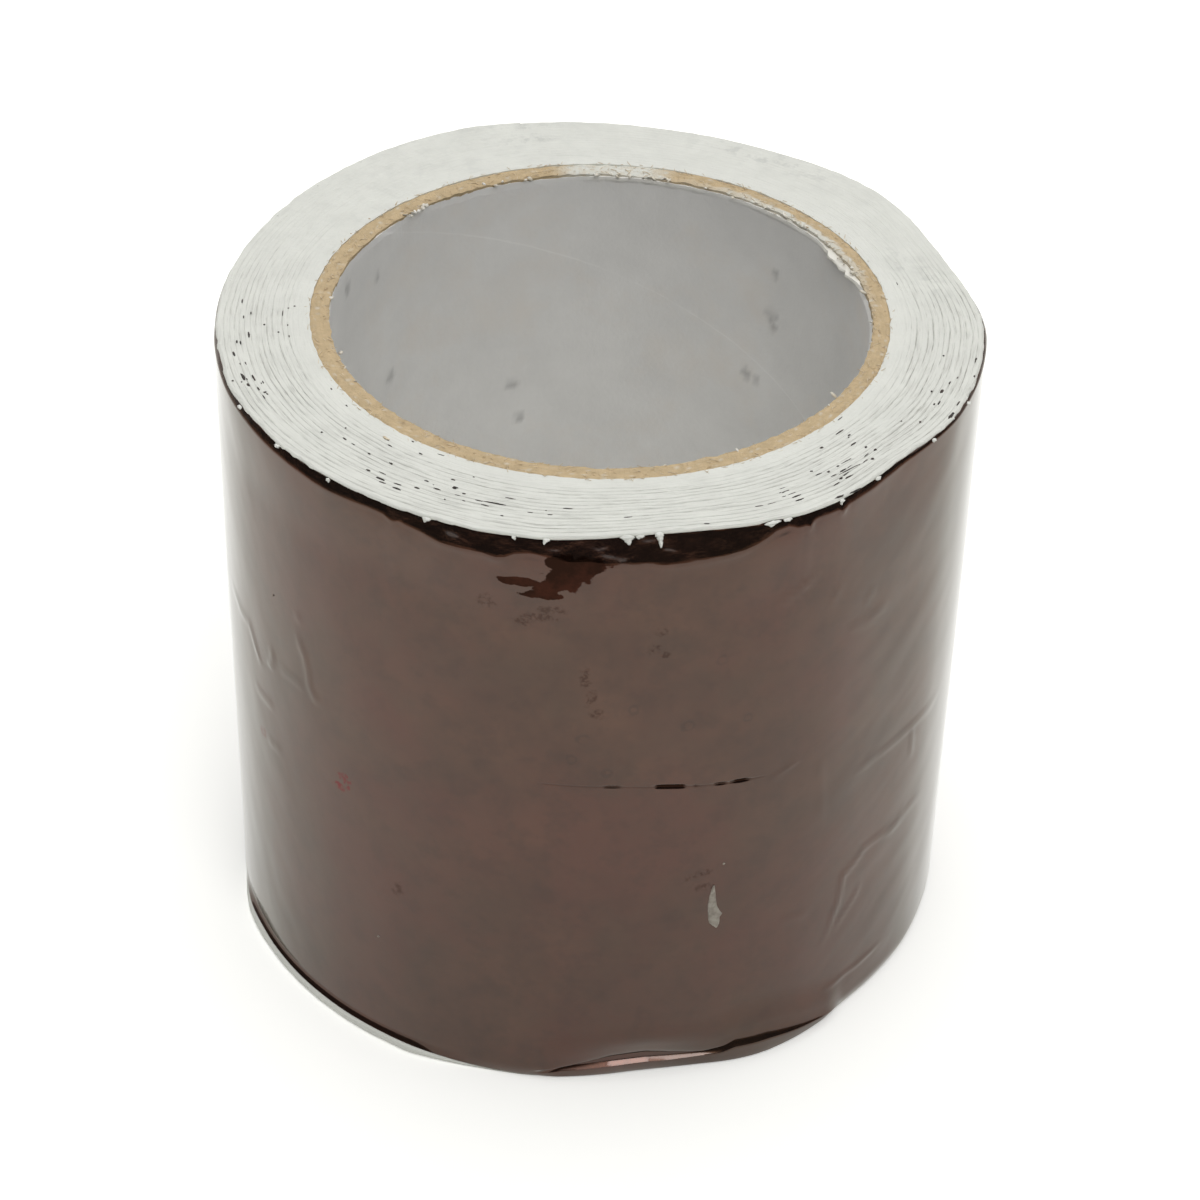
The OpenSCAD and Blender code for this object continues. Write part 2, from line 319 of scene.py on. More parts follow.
def roll_radius(angle, z, size):
    """Radius of the roll, as if its outermost turn went all the way round."""
    whole = CORE_R + size.turns * size.turn_thickness / MM
    top, wall, base = (whole - sum(swell(angle, p[0], p[1]) * p[k] for p in PRESSED) for k in (2, 3, 4))
    foot = film_foot(angle, size)
    near_foot = 1 - np.clip((z - foot) / (BASE_H - foot), 0, 1)
    toe = blend(-RIM_ROUND, BEAD[3], squeezed(angle)) * near_foot ** 2
    edge = top - RIM_ROUND
    fold = follow(FOLDS, angle)
    even = np.mean([follow(FOLDS, angle + turn) for turn in range(-9, 10)], axis=0)
    lean = follow(LEANS, angle)
    crease = TAPE_W - fold
    rise = smooth((z - crease + FOLD_BLEND) / FOLD_BLEND)
    near = smooth((z - crease + 1.5) / 1.5)
    body = blend(base, wall, z / BASE_H) + toe
    body = body + (edge + lean * even - wall) * rise + lean * (fold - even) * near
    return np.where(z > crease, edge + lean * (TAPE_W - z), body)


def wound(angle, z, share, size):
    """Radius of the winding after a share of all its turns; the tape's free end is pressed thin."""
    pressed_thin = 0.57 * smooth(((share - 1) * size.turns * 360 + END_TAPER) / END_TAPER)
    return CORE_R + (roll_radius(angle, z, size) - CORE_R) * share - pressed_thin


# Meshes and nodes

def make_piece(name, points, faces, values=None):
    """A mesh from points in millimetres, with its named values at the points."""
    mesh = bpy.data.meshes.new(name)
    mesh.from_pydata((np.asarray(points, float) * MM).tolist(), [], faces)
    for key, numbers in (values or {}).items():
        layer = mesh.attributes.new(key, "FLOAT", "POINT")
        layer.data.foreach_set("value", np.asarray(numbers, np.float32))
    piece = bpy.data.objects.new(name, mesh)
    bpy.context.scene.collection.objects.link(piece)
    return piece


def close_up(piece, sharp=50.0, join=0.002):
    """Merges doubles, turns the faces outwards and shades them smooth up to an angle."""
    work = bmesh.new()
    work.from_mesh(piece.data)
    bmesh.ops.remove_doubles(work, verts=work.verts, dist=join * MM)
    bmesh.ops.recalc_face_normals(work, faces=work.faces)
    work.to_mesh(piece.data)
    work.free()
    piece.data.shade_smooth()
    piece.data.set_sharp_from_angle(angle=math.radians(sharp))


def sheet_faces(rows, columns, start=0, around=False):
    """Quads between rows of points, each row that many columns long."""
    near = np.arange(columns if around else columns - 1)
    far = (near + 1) % columns
    faces = []
    for row in range(rows - 1):
        low = start + row * columns
        high = low + columns
        faces += np.stack((low + near, low + far, high + far, high + near), axis=1).tolist()
    return faces


def add(tree, kind, inputs=None, **settings):
    """A node with its settings, whose inputs are set to values or linked to sockets."""
    node = tree.nodes.new(kind)
    node.location.x = 190 * len(tree.nodes)
    for key, value in settings.items():
        setattr(node, key, value)
    for key, value in (inputs or {}).items():
        if isinstance(value, bpy.types.NodeSocket):
            tree.links.new(value, node.inputs[key])
        else:
            node.inputs[key].default_value = value
    return node


def calc(tree, operation, *values, clamp=False):
    """Output of a Math node."""
    node = add(tree, "ShaderNodeMath", dict(enumerate(values)), operation=operation, use_clamp=clamp)
    return node.outputs[0]


def vector_calc(tree, operation, *values, out=0):
    """Output of a Vector Math node: 0 is its vector and 1 its number."""
    return add(tree, "ShaderNodeVectorMath", dict(enumerate(values)), operation=operation).outputs[out]


def times(tree, *values):
    """Product of values and sockets."""
    made = values[0]
    for value in values[1:]:
        made = calc(tree, "MULTIPLY", made, value)
    return made


def new_tree(name, sockets):
    """A Geometry Nodes group with the named inputs, and its input and output nodes."""
    tree = bpy.data.node_groups.new(name, "GeometryNodeTree")
    tree.interface.new_socket(name="Geometry", in_out="OUTPUT", socket_type="NodeSocketGeometry")
    tree.interface.new_socket(name="Geometry", in_out="INPUT", socket_type="NodeSocketGeometry")
    for label, kind in sockets.items():
        tree.interface.new_socket(name=label, in_out="INPUT", socket_type="NodeSocket" + kind)
    return tree, add(tree, "NodeGroupInput").outputs


def end_tree(tree, geometry, material):
    """Ends a Geometry Nodes group in real meshes with their material."""
    real = add(tree, "GeometryNodeRealizeInstances", {0: geometry}).outputs[0]
    done = add(tree, "GeometryNodeSetMaterial", {0: real, "Material": material}).outputs[0]
    add(tree, "NodeGroupOutput", {0: done})
    return tree


def named(tree, name):
    """A value stored at the points."""
    node = add(tree, "GeometryNodeInputNamedAttribute", {"Name": name}, data_type="FLOAT")
    return node.outputs["Attribute"]


def run_nodes(piece, tree, values):
    """Runs a Geometry Nodes group on a piece and keeps the result as its plain mesh."""
    modifier = piece.modifiers.new(tree.name, "NODES")
    modifier.node_group = tree
    for item in tree.interface.items_tree:
        if item.in_out == "INPUT" and item.name in values:
            modifier[item.identifier] = values[item.name]
    graph = bpy.context.evaluated_depsgraph_get()
    made = bpy.data.meshes.new_from_object(
        piece.evaluated_get(graph), preserve_all_data_layers=True, depsgraph=graph
    )
    piece.modifiers.clear()
    piece.data = made
    return piece


def dress(piece, slot, *replaced):
    """Hands a finished piece to the frame."""
    if not len(piece.data.polygons):
        raise RuntimeError(piece.name + " has no faces")
    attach(piece, BODY)
    if replaced:
        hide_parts(*replaced)


# Geometry Nodes groups

def turn_lines_tree():
    """Sinks the line between the turns into both end faces and makes the faces uneven."""
    tree, given = new_tree("TurnLines", {
        "Line depth": "Float", "Unevenness": "Float", "Bumps per metre": "Float",
        "Seed": "Float", "Material": "Material",
    })
    rough = add(tree, "ShaderNodeTexNoise", {
        "W": given["Seed"], "Scale": given["Bumps per metre"], "Detail": 3.0, "Roughness": 0.6,
    }, noise_dimensions="4D").outputs[0]
    wave = times(tree, calc(tree, "SUBTRACT", rough, 0.5), given["Unevenness"])
    sink = times(tree, named(tree, "line"), given["Line depth"])
    rise = times(tree, calc(tree, "SUBTRACT", wave, sink), named(tree, "end"))
    offset = add(tree, "ShaderNodeCombineXYZ", {"Z": rise}).outputs[0]
    moved = add(tree, "GeometryNodeSetPosition", {0: given["Geometry"], "Offset": offset}).outputs[0]
    return end_tree(tree, moved, given["Material"])


def scatter_tree():
    """Lays small bits along a path, by a chance that is stored at its points."""
    tree, given = new_tree("ScatterAlongPath", {
        "Spacing": "Float", "Share": "Float", "Size": "Vector",
        "Least scale": "Vector", "Most scale": "Vector", "Tilt": "Vector", "Shift": "Vector",
        "Seed": "Int", "Material": "Material",
    })
    curve = add(tree, "GeometryNodeMeshToCurve", {0: given["Geometry"]}).outputs[0]
    spaced = {0: curve, "Length": given["Spacing"]}
    dots = add(tree, "GeometryNodeCurveToPoints", spaced, mode="LENGTH").outputs
    draw = add(tree, "FunctionNodeRandomValue", {"Seed": given["Seed"]}, data_type="FLOAT").outputs["Value"]
    limit = times(tree, named(tree, "chance"), given["Share"])
    kept = add(tree, "FunctionNodeCompare", {"A": draw, "B": limit}, data_type="FLOAT",
               operation="LESS_THAN").outputs[0]
    along = add(tree, "FunctionNodeAlignRotationToVector", {"Vector": dots["Tangent"]},
                axis="X", pivot_axis="Z").outputs[0]

    def spread(low, high, step):
        """A random vector between two inputs; each call has its own seed."""
        seed = calc(tree, "ADD", given["Seed"], float(step))
        return add(tree, "FunctionNodeRandomValue", {0: low, 1: high, "Seed": seed},
                   data_type="FLOAT_VECTOR").outputs["Value"]

    def opposite(vector):
        return vector_calc(tree, "MULTIPLY", vector, (-1.0,) * 3)

    tilt = spread(opposite(given["Tilt"]), given["Tilt"], 1)
    turned = add(tree, "FunctionNodeRotateRotation", {0: along, 1: tilt}, rotation_space="LOCAL").outputs[0]
    scale = spread(given["Least scale"], given["Most scale"], 2)
    ball = add(tree, "GeometryNodeMeshIcoSphere", {"Radius": 0.5, "Subdivisions": 1}).outputs[0]
    bit = add(tree, "GeometryNodeTransform", {0: ball, "Scale": given["Size"]}).outputs[0]
    moved = add(tree, "GeometryNodeSetPosition", {
        0: dots["Points"], "Offset": spread(opposite(given["Shift"]), given["Shift"], 3),
    }).outputs[0]
    laid = add(tree, "GeometryNodeInstanceOnPoints", {
        "Points": moved, "Selection": kept, "Instance": bit, "Rotation": turned, "Scale": scale,
    }).outputs[0]
    return end_tree(tree, laid, given["Material"])


# Materials

def shader(name, colour, **sockets):
    """A material with its Principled shader, whose even numbers are set on the shader itself."""
    material = bpy.data.materials.new(name)
    material.use_nodes = True
    material.diffuse_color = (*colour, 1)
    tree = material.node_tree
    node = tree.nodes["Principled BSDF"]
    node.inputs["Base Color"].default_value = (*colour, 1)
    for key, value in sockets.items():
        node.inputs[key.replace("_", " ")].default_value = value
    return material, tree, node


def stored(tree, name):
    return add(tree, "ShaderNodeAttribute", attribute_name=name).outputs["Fac"]


def grain(tree, per_metre, detail=3.0, roughness=0.55, stretch=(1, 1, 1)):
    """Noise on Object coordinates, with that many features in a metre."""
    place = add(tree, "ShaderNodeTexCoord").outputs["Object"]
    if stretch != (1, 1, 1):
        place = add(tree, "ShaderNodeMapping", {"Vector": place, "Scale": stretch}).outputs[0]
    return add(tree, "ShaderNodeTexNoise", {
        "Vector": place, "Scale": per_metre, "Detail": detail, "Roughness": roughness,
    }).outputs[0]


def band(tree, value, low, high, to_low=0.0, to_high=1.0):
    """Maps a range of a value to another range, clamped."""
    return add(tree, "ShaderNodeMapRange", {
        "Value": value, "From Min": low, "From Max": high, "To Min": to_low, "To Max": to_high,
    }).outputs[0]


def tint(tree, share, first, second, kind="MIX"):
    """Colour between two colours or sockets."""
    pair = [(*c, 1) if isinstance(c, tuple) and len(c) == 3 else c for c in (first, second)]
    return add(tree, "ShaderNodeMix", {0: share, 6: pair[0], 7: pair[1]}, data_type="RGBA",
               blend_type=kind).outputs[2]


def scaled(colour, *shares):
    """A colour made darker or paler, by one share or by one for each channel."""
    shares = shares if len(shares) == 3 else shares * 3
    return tuple(min(1, c * share) for c, share in zip(colour, shares))


def bump(tree, node, height, strength, distance):
    made = add(tree, "ShaderNodeBump", {"Height": height, "Strength": strength, "Distance": distance})
    tree.links.new(made.outputs[0], node.inputs["Normal"])


def along_turns(tree, along, across, detail=2.0):
    """Noise drawn out along the turns, with that many features round the roll and in each turn."""
    place = add(tree, "ShaderNodeTexCoord").outputs["Object"]
    around = vector_calc(tree, "NORMALIZE", vector_calc(tree, "MULTIPLY", place, (1, 1, 0)))
    around = vector_calc(tree, "MULTIPLY", around, (along / 6.0,) * 3)
    outwards = times(tree, stored(tree, "turn"), across)
    outwards = add(tree, "ShaderNodeCombineXYZ", {2: outwards}).outputs[0]
    spot = vector_calc(tree, "ADD", around, outwards)
    return add(tree, "ShaderNodeTexNoise", {
        "Vector": spot, "Scale": 1.0, "Detail": detail, "Roughness": 0.55,
    }).outputs[0]


def butyl_material(looks):
    """White butyl, darker in the lines and smeared grey where it was dragged."""
    colour = tuple(looks.butyl_colour)
    material, tree, node = shader("white butyl", colour, Roughness=0.5, Specular_IOR_Level=0.4)
    mottle = band(tree, grain(tree, 160, 4.0), 0.35, 0.65)
    pale = tint(tree, mottle, scaled(colour, 0.965), scaled(colour, 1.025))
    streaks = along_turns(tree, 60.0, 2.6)
    drawn_share = calc(tree, "ADD", times(tree, stored(tree, "open"), 0.4), 0.06)
    drawn_share = times(tree, band(tree, streaks, 0.5, 0.68), drawn_share)
    drawn = tint(tree, drawn_share, pale, (0.42, 0.42, 0.38))
    fine_smudge = band(tree, grain(tree, 420, 4.0, 0.65), 0.5, 0.62)
    smudge = calc(tree, "ADD", fine_smudge, band(tree, grain(tree, 120, 5.0, 0.6), 0.5, 0.66))
    greyed = tint(tree, times(tree, smudge, stored(tree, "smear"), 0.32), drawn, (0.37, 0.38, 0.36))
    hair = times(tree, band(tree, along_turns(tree, 110.0, 7.0), 0.58, 0.68), 0.38)
    haired = tint(tree, times(tree, hair, stored(tree, "open")), greyed, (0.22, 0.2, 0.17))
    broken = band(tree, along_turns(tree, 150.0, 1.3), 0.38, 0.6, 0.35, 1.0)
    line = times(tree, stored(tree, "line"), looks.line_darkness)
    lined = tint(tree, calc(tree, "MULTIPLY", line, broken, clamp=True), haired, (0.12, 0.11, 0.09))
    tree.links.new(lined, node.inputs["Base Color"])
    rough = calc(tree, "ADD", grain(tree, 900, 4.0, 0.6, (1, 1, 0.4)), streaks)
    bump(tree, node, rough, 0.4, 0.0003)
    return material


def film_place(tree):
    """Place on the film: how far round it is and how high, in millimetres."""
    return add(tree, "ShaderNodeCombineXYZ", {0: stored(tree, "arc"), 1: stored(tree, "high")}).outputs[0]


def greatest(tree, shares):
    """The greatest of some shares at each place."""
    most = shares[0]
    for share in shares[1:]:
        most = calc(tree, "MAXIMUM", most, share)
    return most


def marks(tree, spots, jag, soft):
    """Shares of ragged marks on the film, each at a direction and height, with two half sizes."""
    place = film_place(tree)
    shares = []
    for direction, height, wide, tall in spots:
        apart = vector_calc(tree, "SUBTRACT", place, (direction * ARC, height, 0))
        apart = vector_calc(tree, "DIVIDE", apart, (wide, tall, 1))
        reach = vector_calc(tree, "LENGTH", apart, out=1)
        shares.append(band(tree, calc(tree, "ADD", reach, jag), 1.0 + soft, 1.0))
    return greatest(tree, shares)


def ring_marks(tree, spots, jag, wide):
    """Shares of faint broken rings on the film, each at a direction and height, with its radius."""
    place = film_place(tree)
    shares = []
    for direction, height, radius in spots:
        reach = vector_calc(tree, "DISTANCE", place, (direction * ARC, height, 0), out=1)
        off = calc(tree, "ABSOLUTE", calc(tree, "SUBTRACT", reach, radius))
        shares.append(band(tree, calc(tree, "ADD", off, jag), wide, wide * 0.5))
    return greatest(tree, shares)


def film_dots(tree, apart, half, picked):
    """Small dots on the film, one in some of the cells of a pattern with cells that far apart."""
    made = add(tree, "ShaderNodeTexVoronoi", {"Vector": film_place(tree), "Scale": 1 / apart}).outputs
    draw = add(tree, "ShaderNodeSeparateColor", {0: made["Color"]}).outputs[0]
    dot = band(tree, made["Distance"], half / apart, half * 0.4 / apart)
    return times(tree, dot, calc(tree, "GREATER_THAN", draw, picked))


def film_material(looks):
    """Metallised brown film under a clear coat, with stains, dots and rings, and painted shade in the fold,
    the open slit and the dark patches.
    """
    colour = tuple(looks.film_colour)
    material, tree, node = shader(
        "brown film", colour, Metallic=1.0, Roughness=0.27, Coat_Roughness=0.08, Coat_IOR=1.45
    )
    node.inputs["Specular Tint"].default_value = (*looks.film_edge_tint, 1)
    mottle = band(tree, grain(tree, 75, 6.0, 0.68), 0.3, 0.7)
    base = tint(tree, mottle, scaled(colour, 0.76), scaled(colour, 1.22))
    redder = times(tree, band(tree, grain(tree, 33, 5.0, 0.6), 0.42, 0.6), 0.6)
    base = tint(tree, redder, base, scaled(colour, 1.2, 0.86, 0.95))
    greener = times(tree, band(tree, grain(tree, 52, 5.0, 0.65), 0.5, 0.66), 0.35)
    base = tint(tree, greener, base, scaled(colour, 0.86, 1.15, 1.2))
    blotch = times(tree, band(tree, grain(tree, 230, 5.0, 0.72), 0.48, 0.64), 0.36)
    base = tint(tree, blotch, base, scaled(colour, 0.55))
    jag = times(tree, calc(tree, "SUBTRACT", grain(tree, 520, 4.0, 0.6), 0.5), 1.7)
    torn = times(tree, calc(tree, "SUBTRACT", grain(tree, 1100, 5.0, 0.75), 0.5), 5.5)
    rings = times(tree, ring_marks(tree, DULL_RINGS, times(tree, jag, 0.8), 0.28), 0.45)
    dots = [film_dots(tree, 5.2, 0.2, 0.7), film_dots(tree, 2.7, 0.12, 0.72), rings]
    dots = times(tree, greatest(tree, dots), 0.65)
    dotted = tint(tree, dots, base, scaled(colour, 0.25))
    # Painted reflection: the patches below the fold are painted dark, as tilted film that mirrors the dark
    # room would look
    painted_reflection = marks(tree, DARK_REFLECTION_PATCHES, jag, 0.12)
    fine = band(tree, grain(tree, 1500, 4.0, 0.7), 0.42, 0.56)
    stain = times(tree, marks(tree, STAINS, torn, 0.9), fine, 0.42)
    red = times(tree, marks(tree, RED_MARKS, torn, 0.9), fine, 0.85)
    wobble = band(tree, grain(tree, 240, 4.0, 0.65), 0.42, 0.62)
    reflection_painted = tint(tree, painted_reflection, dotted, tint(tree, wobble, (0.02, 0.009, 0.006), (0.038, 0.014, 0.009)))
    stained = tint(tree, stain, reflection_painted, (0.022, 0.010, 0.007))
    marked = tint(tree, red, stained, (0.15, 0.013, 0.018))
    # Painted shade: the film in the fold is painted darker than the rest of the film
    folded = stored(tree, "folded")
    bent = tint(tree, times(tree, folded, 0.55), marked, (0.018, 0.009, 0.006))
    # Painted shade: the film is painted dark where the slit is open
    cut = tint(tree, stored(tree, "cut"), bent, (0.018, 0.008, 0.005))
    tree.links.new(cut, node.inputs["Base Color"])
    # The coat is taken off in the painted patches, the stains, the open slit and the red marks
    coat_off = greatest(tree, [painted_reflection, stain, stored(tree, "cut"), times(tree, red, 0.6)])
    tree.links.new(calc(tree, "SUBTRACT", 1.0, coat_off, clamp=True), node.inputs["Coat Weight"])
    height = calc(tree, "SUBTRACT", grain(tree, 260, 4.0, 0.6), dots)
    crumpled = times(tree, grain(tree, 620, 4.0, 0.7), times(tree, folded, 4.0))
    bump(tree, node, calc(tree, "ADD", height, crumpled), 0.16, 0.0003)
    return material


def lining_material(looks):
    """Pale grey paper with a spiral seam, painted paler along its line as a painted highlight, and a few
    scuffs.
    """
    colour = tuple(looks.lining_colour)
    material, tree, node = shader("grey paper", colour, Roughness=0.75, Specular_IOR_Level=0.25)
    mottle = band(tree, grain(tree, 90, 5.0, 0.65), 0.3, 0.7)
    paper = tint(tree, mottle, scaled(colour, 0.95), scaled(colour, 1.04))
    warm = times(tree, band(tree, grain(tree, 55, 5.0, 0.65), 0.48, 0.66), 0.6)
    paper = tint(tree, warm, paper, scaled(colour, 1.0, 0.955, 0.91))
    # Painted highlight: a thin pale line is painted along the seam, where the edge of the overlapping paper
    # would catch the lamp
    wander = times(tree, calc(tree, "SUBTRACT", grain(tree, 300), 0.5), 0.5)
    beside = calc(tree, "ABSOLUTE", calc(tree, "ADD", stored(tree, "over"), wander))
    seen = band(tree, grain(tree, 120, 4.0), 0.35, 0.65, 0.1, 0.7)
    seam = tint(tree, times(tree, band(tree, beside, 0.22, 0.05), seen), paper, scaled(colour, 1.12))
    scuffed = tint(tree, stored(tree, "scuff"), seam, scaled(colour, 0.5))
    torn = tint(tree, stored(tree, "torn"), scuffed, (0.8, 0.78, 0.71))
    tree.links.new(torn, node.inputs["Base Color"])
    bump(tree, node, grain(tree, 1600, 3.0, 0.6), 0.3, 0.0002)
    return material


def kraft_material(looks):
    """Kraft board with the pale and dark plies of a cut edge."""
    colour = tuple(looks.kraft_colour)
    material, tree, node = shader("kraft board", colour, Roughness=0.9, Specular_IOR_Level=0.15)
    mottle = band(tree, grain(tree, 500, 5.0, 0.65), 0.3, 0.72)
    board = tint(tree, mottle, scaled(colour, 0.86), scaled(colour, 1.1))
    plies = tint(tree, times(tree, stored(tree, "ply"), 0.5), board, scaled(colour, 0.6))
    white = tint(tree, stored(tree, "whitened"), plies, (0.7, 0.7, 0.64))
    tree.links.new(white, node.inputs["Base Color"])
    bump(tree, node, grain(tree, 1500, 4.0, 0.7), 0.7, 0.0004)
    return material


def plain_material(name, low, high, per_metre, rough, **sockets):
    """A material whose colour wanders between two colours."""
    material, tree, node = shader(name, high, Roughness=rough, **sockets)
    mixed = tint(tree, band(tree, grain(tree, per_metre), 0.35, 0.65), low, high)
    tree.links.new(mixed, node.inputs["Base Color"])
    bump(tree, node, grain(tree, per_metre * 3), 0.3, 0.0002)
    return material


# Pieces

def line_strength(angle, share, size):
    """How open the line between two turns is, by direction and by share of the way out."""
    turn = share * size.turns * 9.0
    near_core = smooth((share - 0.06) / 0.22)
    wander = bumps(polar(30.0, angle, turn), 6.0, 3)
    fine = bumps(polar(52.0, angle, turn), 1.7, 4)
    return near_core * follow(OPEN_LINES, angle) * np.clip(0.62 + 0.9 * wander + 0.6 * fine, 0.03, 1)


def smears(angle, radius):
    """Where the end face is smeared grey."""
    share = 0.3 * swell(angle, 125, 85)
    for direction, middle, half, wide in SMEARS:
        apart = wrap(angle - direction)
        share = share + np.exp(-(apart / half) ** 2 - ((radius - middle) / wide) ** 2)
    return np.minimum(1, share)


def build_winding(size, looks, material):
    """The white winding: spiral end faces, the rim that bulges over the film, and the cut end."""
    steps = 400
    turns = size.turns
    across = np.array((0.0, 0.12, 0.3, 0.5, 0.7, 0.88))
    parts = len(across)
    last = turns * steps
    line = np.arange(last + steps + 1)
    angle = (size.end_direction / math.radians(1)) - 360.0 * line / steps
    share = np.maximum(0, line - steps) / last
    outside = line >= last
    film = size.film_thickness / MM
    lip = follow(LIPS, angle) + 0.2 * bumps(polar(55.0, angle, 0.0), 1.8, 11) + 0.1 * bumps(
        polar(55.0, angle, 0.0), 5.0, 12)
    fade = np.clip(1 - (line - steps) / 60, 0, 1)
    ragged = 0.16 * bumps(polar(42.0, angle, 5.0), 1.3, 13)
    wander = 0.13 * bumps(polar(44.0, angle, line / steps * 2.4), 7.0, 14)
    wander = wander + 0.07 * bumps(polar(44.0, angle, line / steps * 6.0), 2.6, 15)

    points, faces = [], []
    values = {"line": [], "open": [], "turn": [], "end": [], "smear": []}

    def put(new, **stored_values):
        start = sum(len(p) for p in points)
        points.append(new)
        for key in values:
            values[key].append(np.broadcast_to(stored_values.get(key, 0.0), (len(new),)))
        return start

    first = {}
    inside = ~outside & (line > steps)
    for end, z in ((-1.0, 0.0), (1.0, TAPE_W)):
        radius = wound(angle, z, share, size)
        rim = -film + (lip - 0.1 if end > 0 else 0.0)
        core_edge = (ragged - 0.32 if end > 0 else ragged) * fade
        radius = np.where(outside, radius + rim, radius + core_edge + wander * inside * (1 - fade))
        strength = line_strength(angle, share, size)
        open_line = np.where(outside | (line < steps + 60), 0, strength)
        smear = smears(angle, radius)
        wound_on = share * turns
        begin = put(polar(radius, angle, z), line=open_line, open=strength, turn=wound_on, end=end,
                    smear=smear)

        def spread(low, high):
            return (low[:, None] * (1 - across[1:]) + high[:, None] * across[1:]).reshape(-1)

        low, high = slice(0, last + 1), slice(steps, last + steps + 1)
        between = spread(radius[low], radius[high])
        inner_angle = np.repeat(angle[low], parts - 1)
        turn_here = spread(np.minimum(wound_on[low], wound_on[high] - 1), wound_on[high])
        inner = put(polar(between, inner_angle, z), open=spread(strength[low], strength[high]),
                    turn=turn_here, end=end, smear=smears(inner_angle, between))
        first[end] = (begin, inner)
        column = np.arange(last)
        grid = [begin + column]
        grid += [inner + column * (parts - 1) + k for k in range(parts - 1)]
        grid += [begin + column + steps]
        grid_next = [begin + column + 1]
        grid_next += [inner + (column + 1) * (parts - 1) + k for k in range(parts - 1)]
        grid_next += [begin + column + 1 + steps]
        for k in range(parts):
            faces.extend(np.stack((grid[k], grid[k + 1], grid_next[k + 1], grid_next[k]), axis=1).tolist())

    wall_line = line[last:]
    wall_angle, wall_share, wall_lip = angle[last:], share[last:], lip[last:]
    foot = film_foot(wall_angle, size)
    bulge = blend(-film, BEAD[4], squeezed(wall_angle)) + 0.08 * squeezed(wall_angle) * bumps(
        polar(55.0, wall_angle, 0.0), 3.0, 16)
    bulge = bulge - (PINCH_SHIFT + 0.1) * pinch_strength(wrap(wall_angle, -256))
    hidden = -film - 0.5
    heights = (
        (foot * 0.16, bulge - 0.12), (foot * 0.35, bulge), (foot * 0.65, bulge), (foot * 0.86, bulge - 0.2),
        (foot, -film), (foot + 0.7, hidden), (8.0, hidden), (50.0, hidden), (92.0, hidden),
        (TAPE_W - 1.2, hidden), (TAPE_W - 0.6, -film), (LIP_HEIGHT, wall_lip * 0.7 - film),
        (TAPE_W - 0.18, wall_lip - film), (TAPE_W - 0.05, wall_lip - film - 0.03),
    )
    rows = [first[-1.0][0] + wall_line]
    for z, out in heights:
        start = put(polar(wound(wall_angle, z, wall_share, size) + out, wall_angle, z))
        rows.append(start + np.arange(steps + 1))
    rows.append(first[1.0][0] + wall_line)
    for low, high in zip(rows, rows[1:]):
        faces.extend(np.stack((low[:-1], low[1:], high[1:], high[:-1]), axis=1).tolist())
    cut = {e: [b + last] + [i + last * (parts - 1) + k for k in range(parts - 1)] + [b + last + steps]
           for e, (b, i) in first.items()}
    sides = [[int(r[0]), int(r[-1])] for r in rows]
    sides[0] = [int(v) for v in cut[-1.0]]
    sides[-1] = [int(v) for v in cut[1.0]]
    for low, high in zip(sides, sides[1:]):
        faces.append(low + high[::-1])
    hole = np.arange(steps)
    low, high = first[-1.0][0] + hole, first[1.0][0] + hole
    faces.extend(np.stack((low, high, high + 1, low + 1), axis=1).tolist())

    piece = make_piece("tape_roll_winding", np.concatenate(points), faces,
                       {key: np.concatenate(parts_of) for key, parts_of in values.items()})
    close_up(piece, 60.0)
    run_nodes(piece, turn_lines_tree(), {
        "Line depth": looks.line_depth, "Unevenness": looks.unevenness, "Bumps per metre": 230.0,
        "Seed": 2.0, "Material": material,
    })
    return piece


def along_path(x, y, path):
    """Distance to a path of points, and how far along it the nearest place is, from 0 to 1."""
    whole = sum(math.dist(a, b) for a, b in zip(path, path[1:]))
    away, share, done = np.full(np.shape(x), 1e6), np.zeros(np.shape(x)), 0.0
    for start, end in zip(path, path[1:]):
        dx, dy = end[0] - start[0], end[1] - start[1]
        length = math.hypot(dx, dy)
        part = np.clip(((x - start[0]) * dx + (y - start[1]) * dy) / length ** 2, 0, 1)
        here = np.hypot(x - start[0] - part * dx, y - start[1] - part * dy)
        share = np.where(here < away, (done + part * length) / whole, share)
        away = np.minimum(away, here)
        done += length
    return away, share


def crease_relief(angle, z, place):
    """Height of all creases of the film at each point; each fades out at its ends."""
    x = angle * ARC + 0.5 * bumps(place, 4.0, 25)
    y = z + 0.5 * bumps(place, 4.0, 26)
    relief = np.zeros(np.shape(z))
    for path, height, half in CREASES:
        away, share = along_path(x, y, [(a * ARC, h) for a, h in path])
        ends = smooth(share * 4) * smooth((1 - share) * 4)
        relief += height * ends * np.exp(-(away / half) ** 2)
    return relief


def slit_opening(angle):
    """How far the cut across the film is open at each direction."""
    opened = [share * smooth((angle - a) / 0.8) * smooth((b - angle) / 0.8) for a, b, share in SLIT_OPEN]
    return np.max(opened, axis=0)


def pinch_strength(angle):
    return smooth((angle + 98) / 5) * smooth((-44 - angle) / 5)


def pinch_line(angle):
    """Crease height, slope height, lip and bulge of the pinch at each direction."""
    directions, *columns = zip(*PINCH)
    return [np.interp(angle, directions, values) for values in columns]


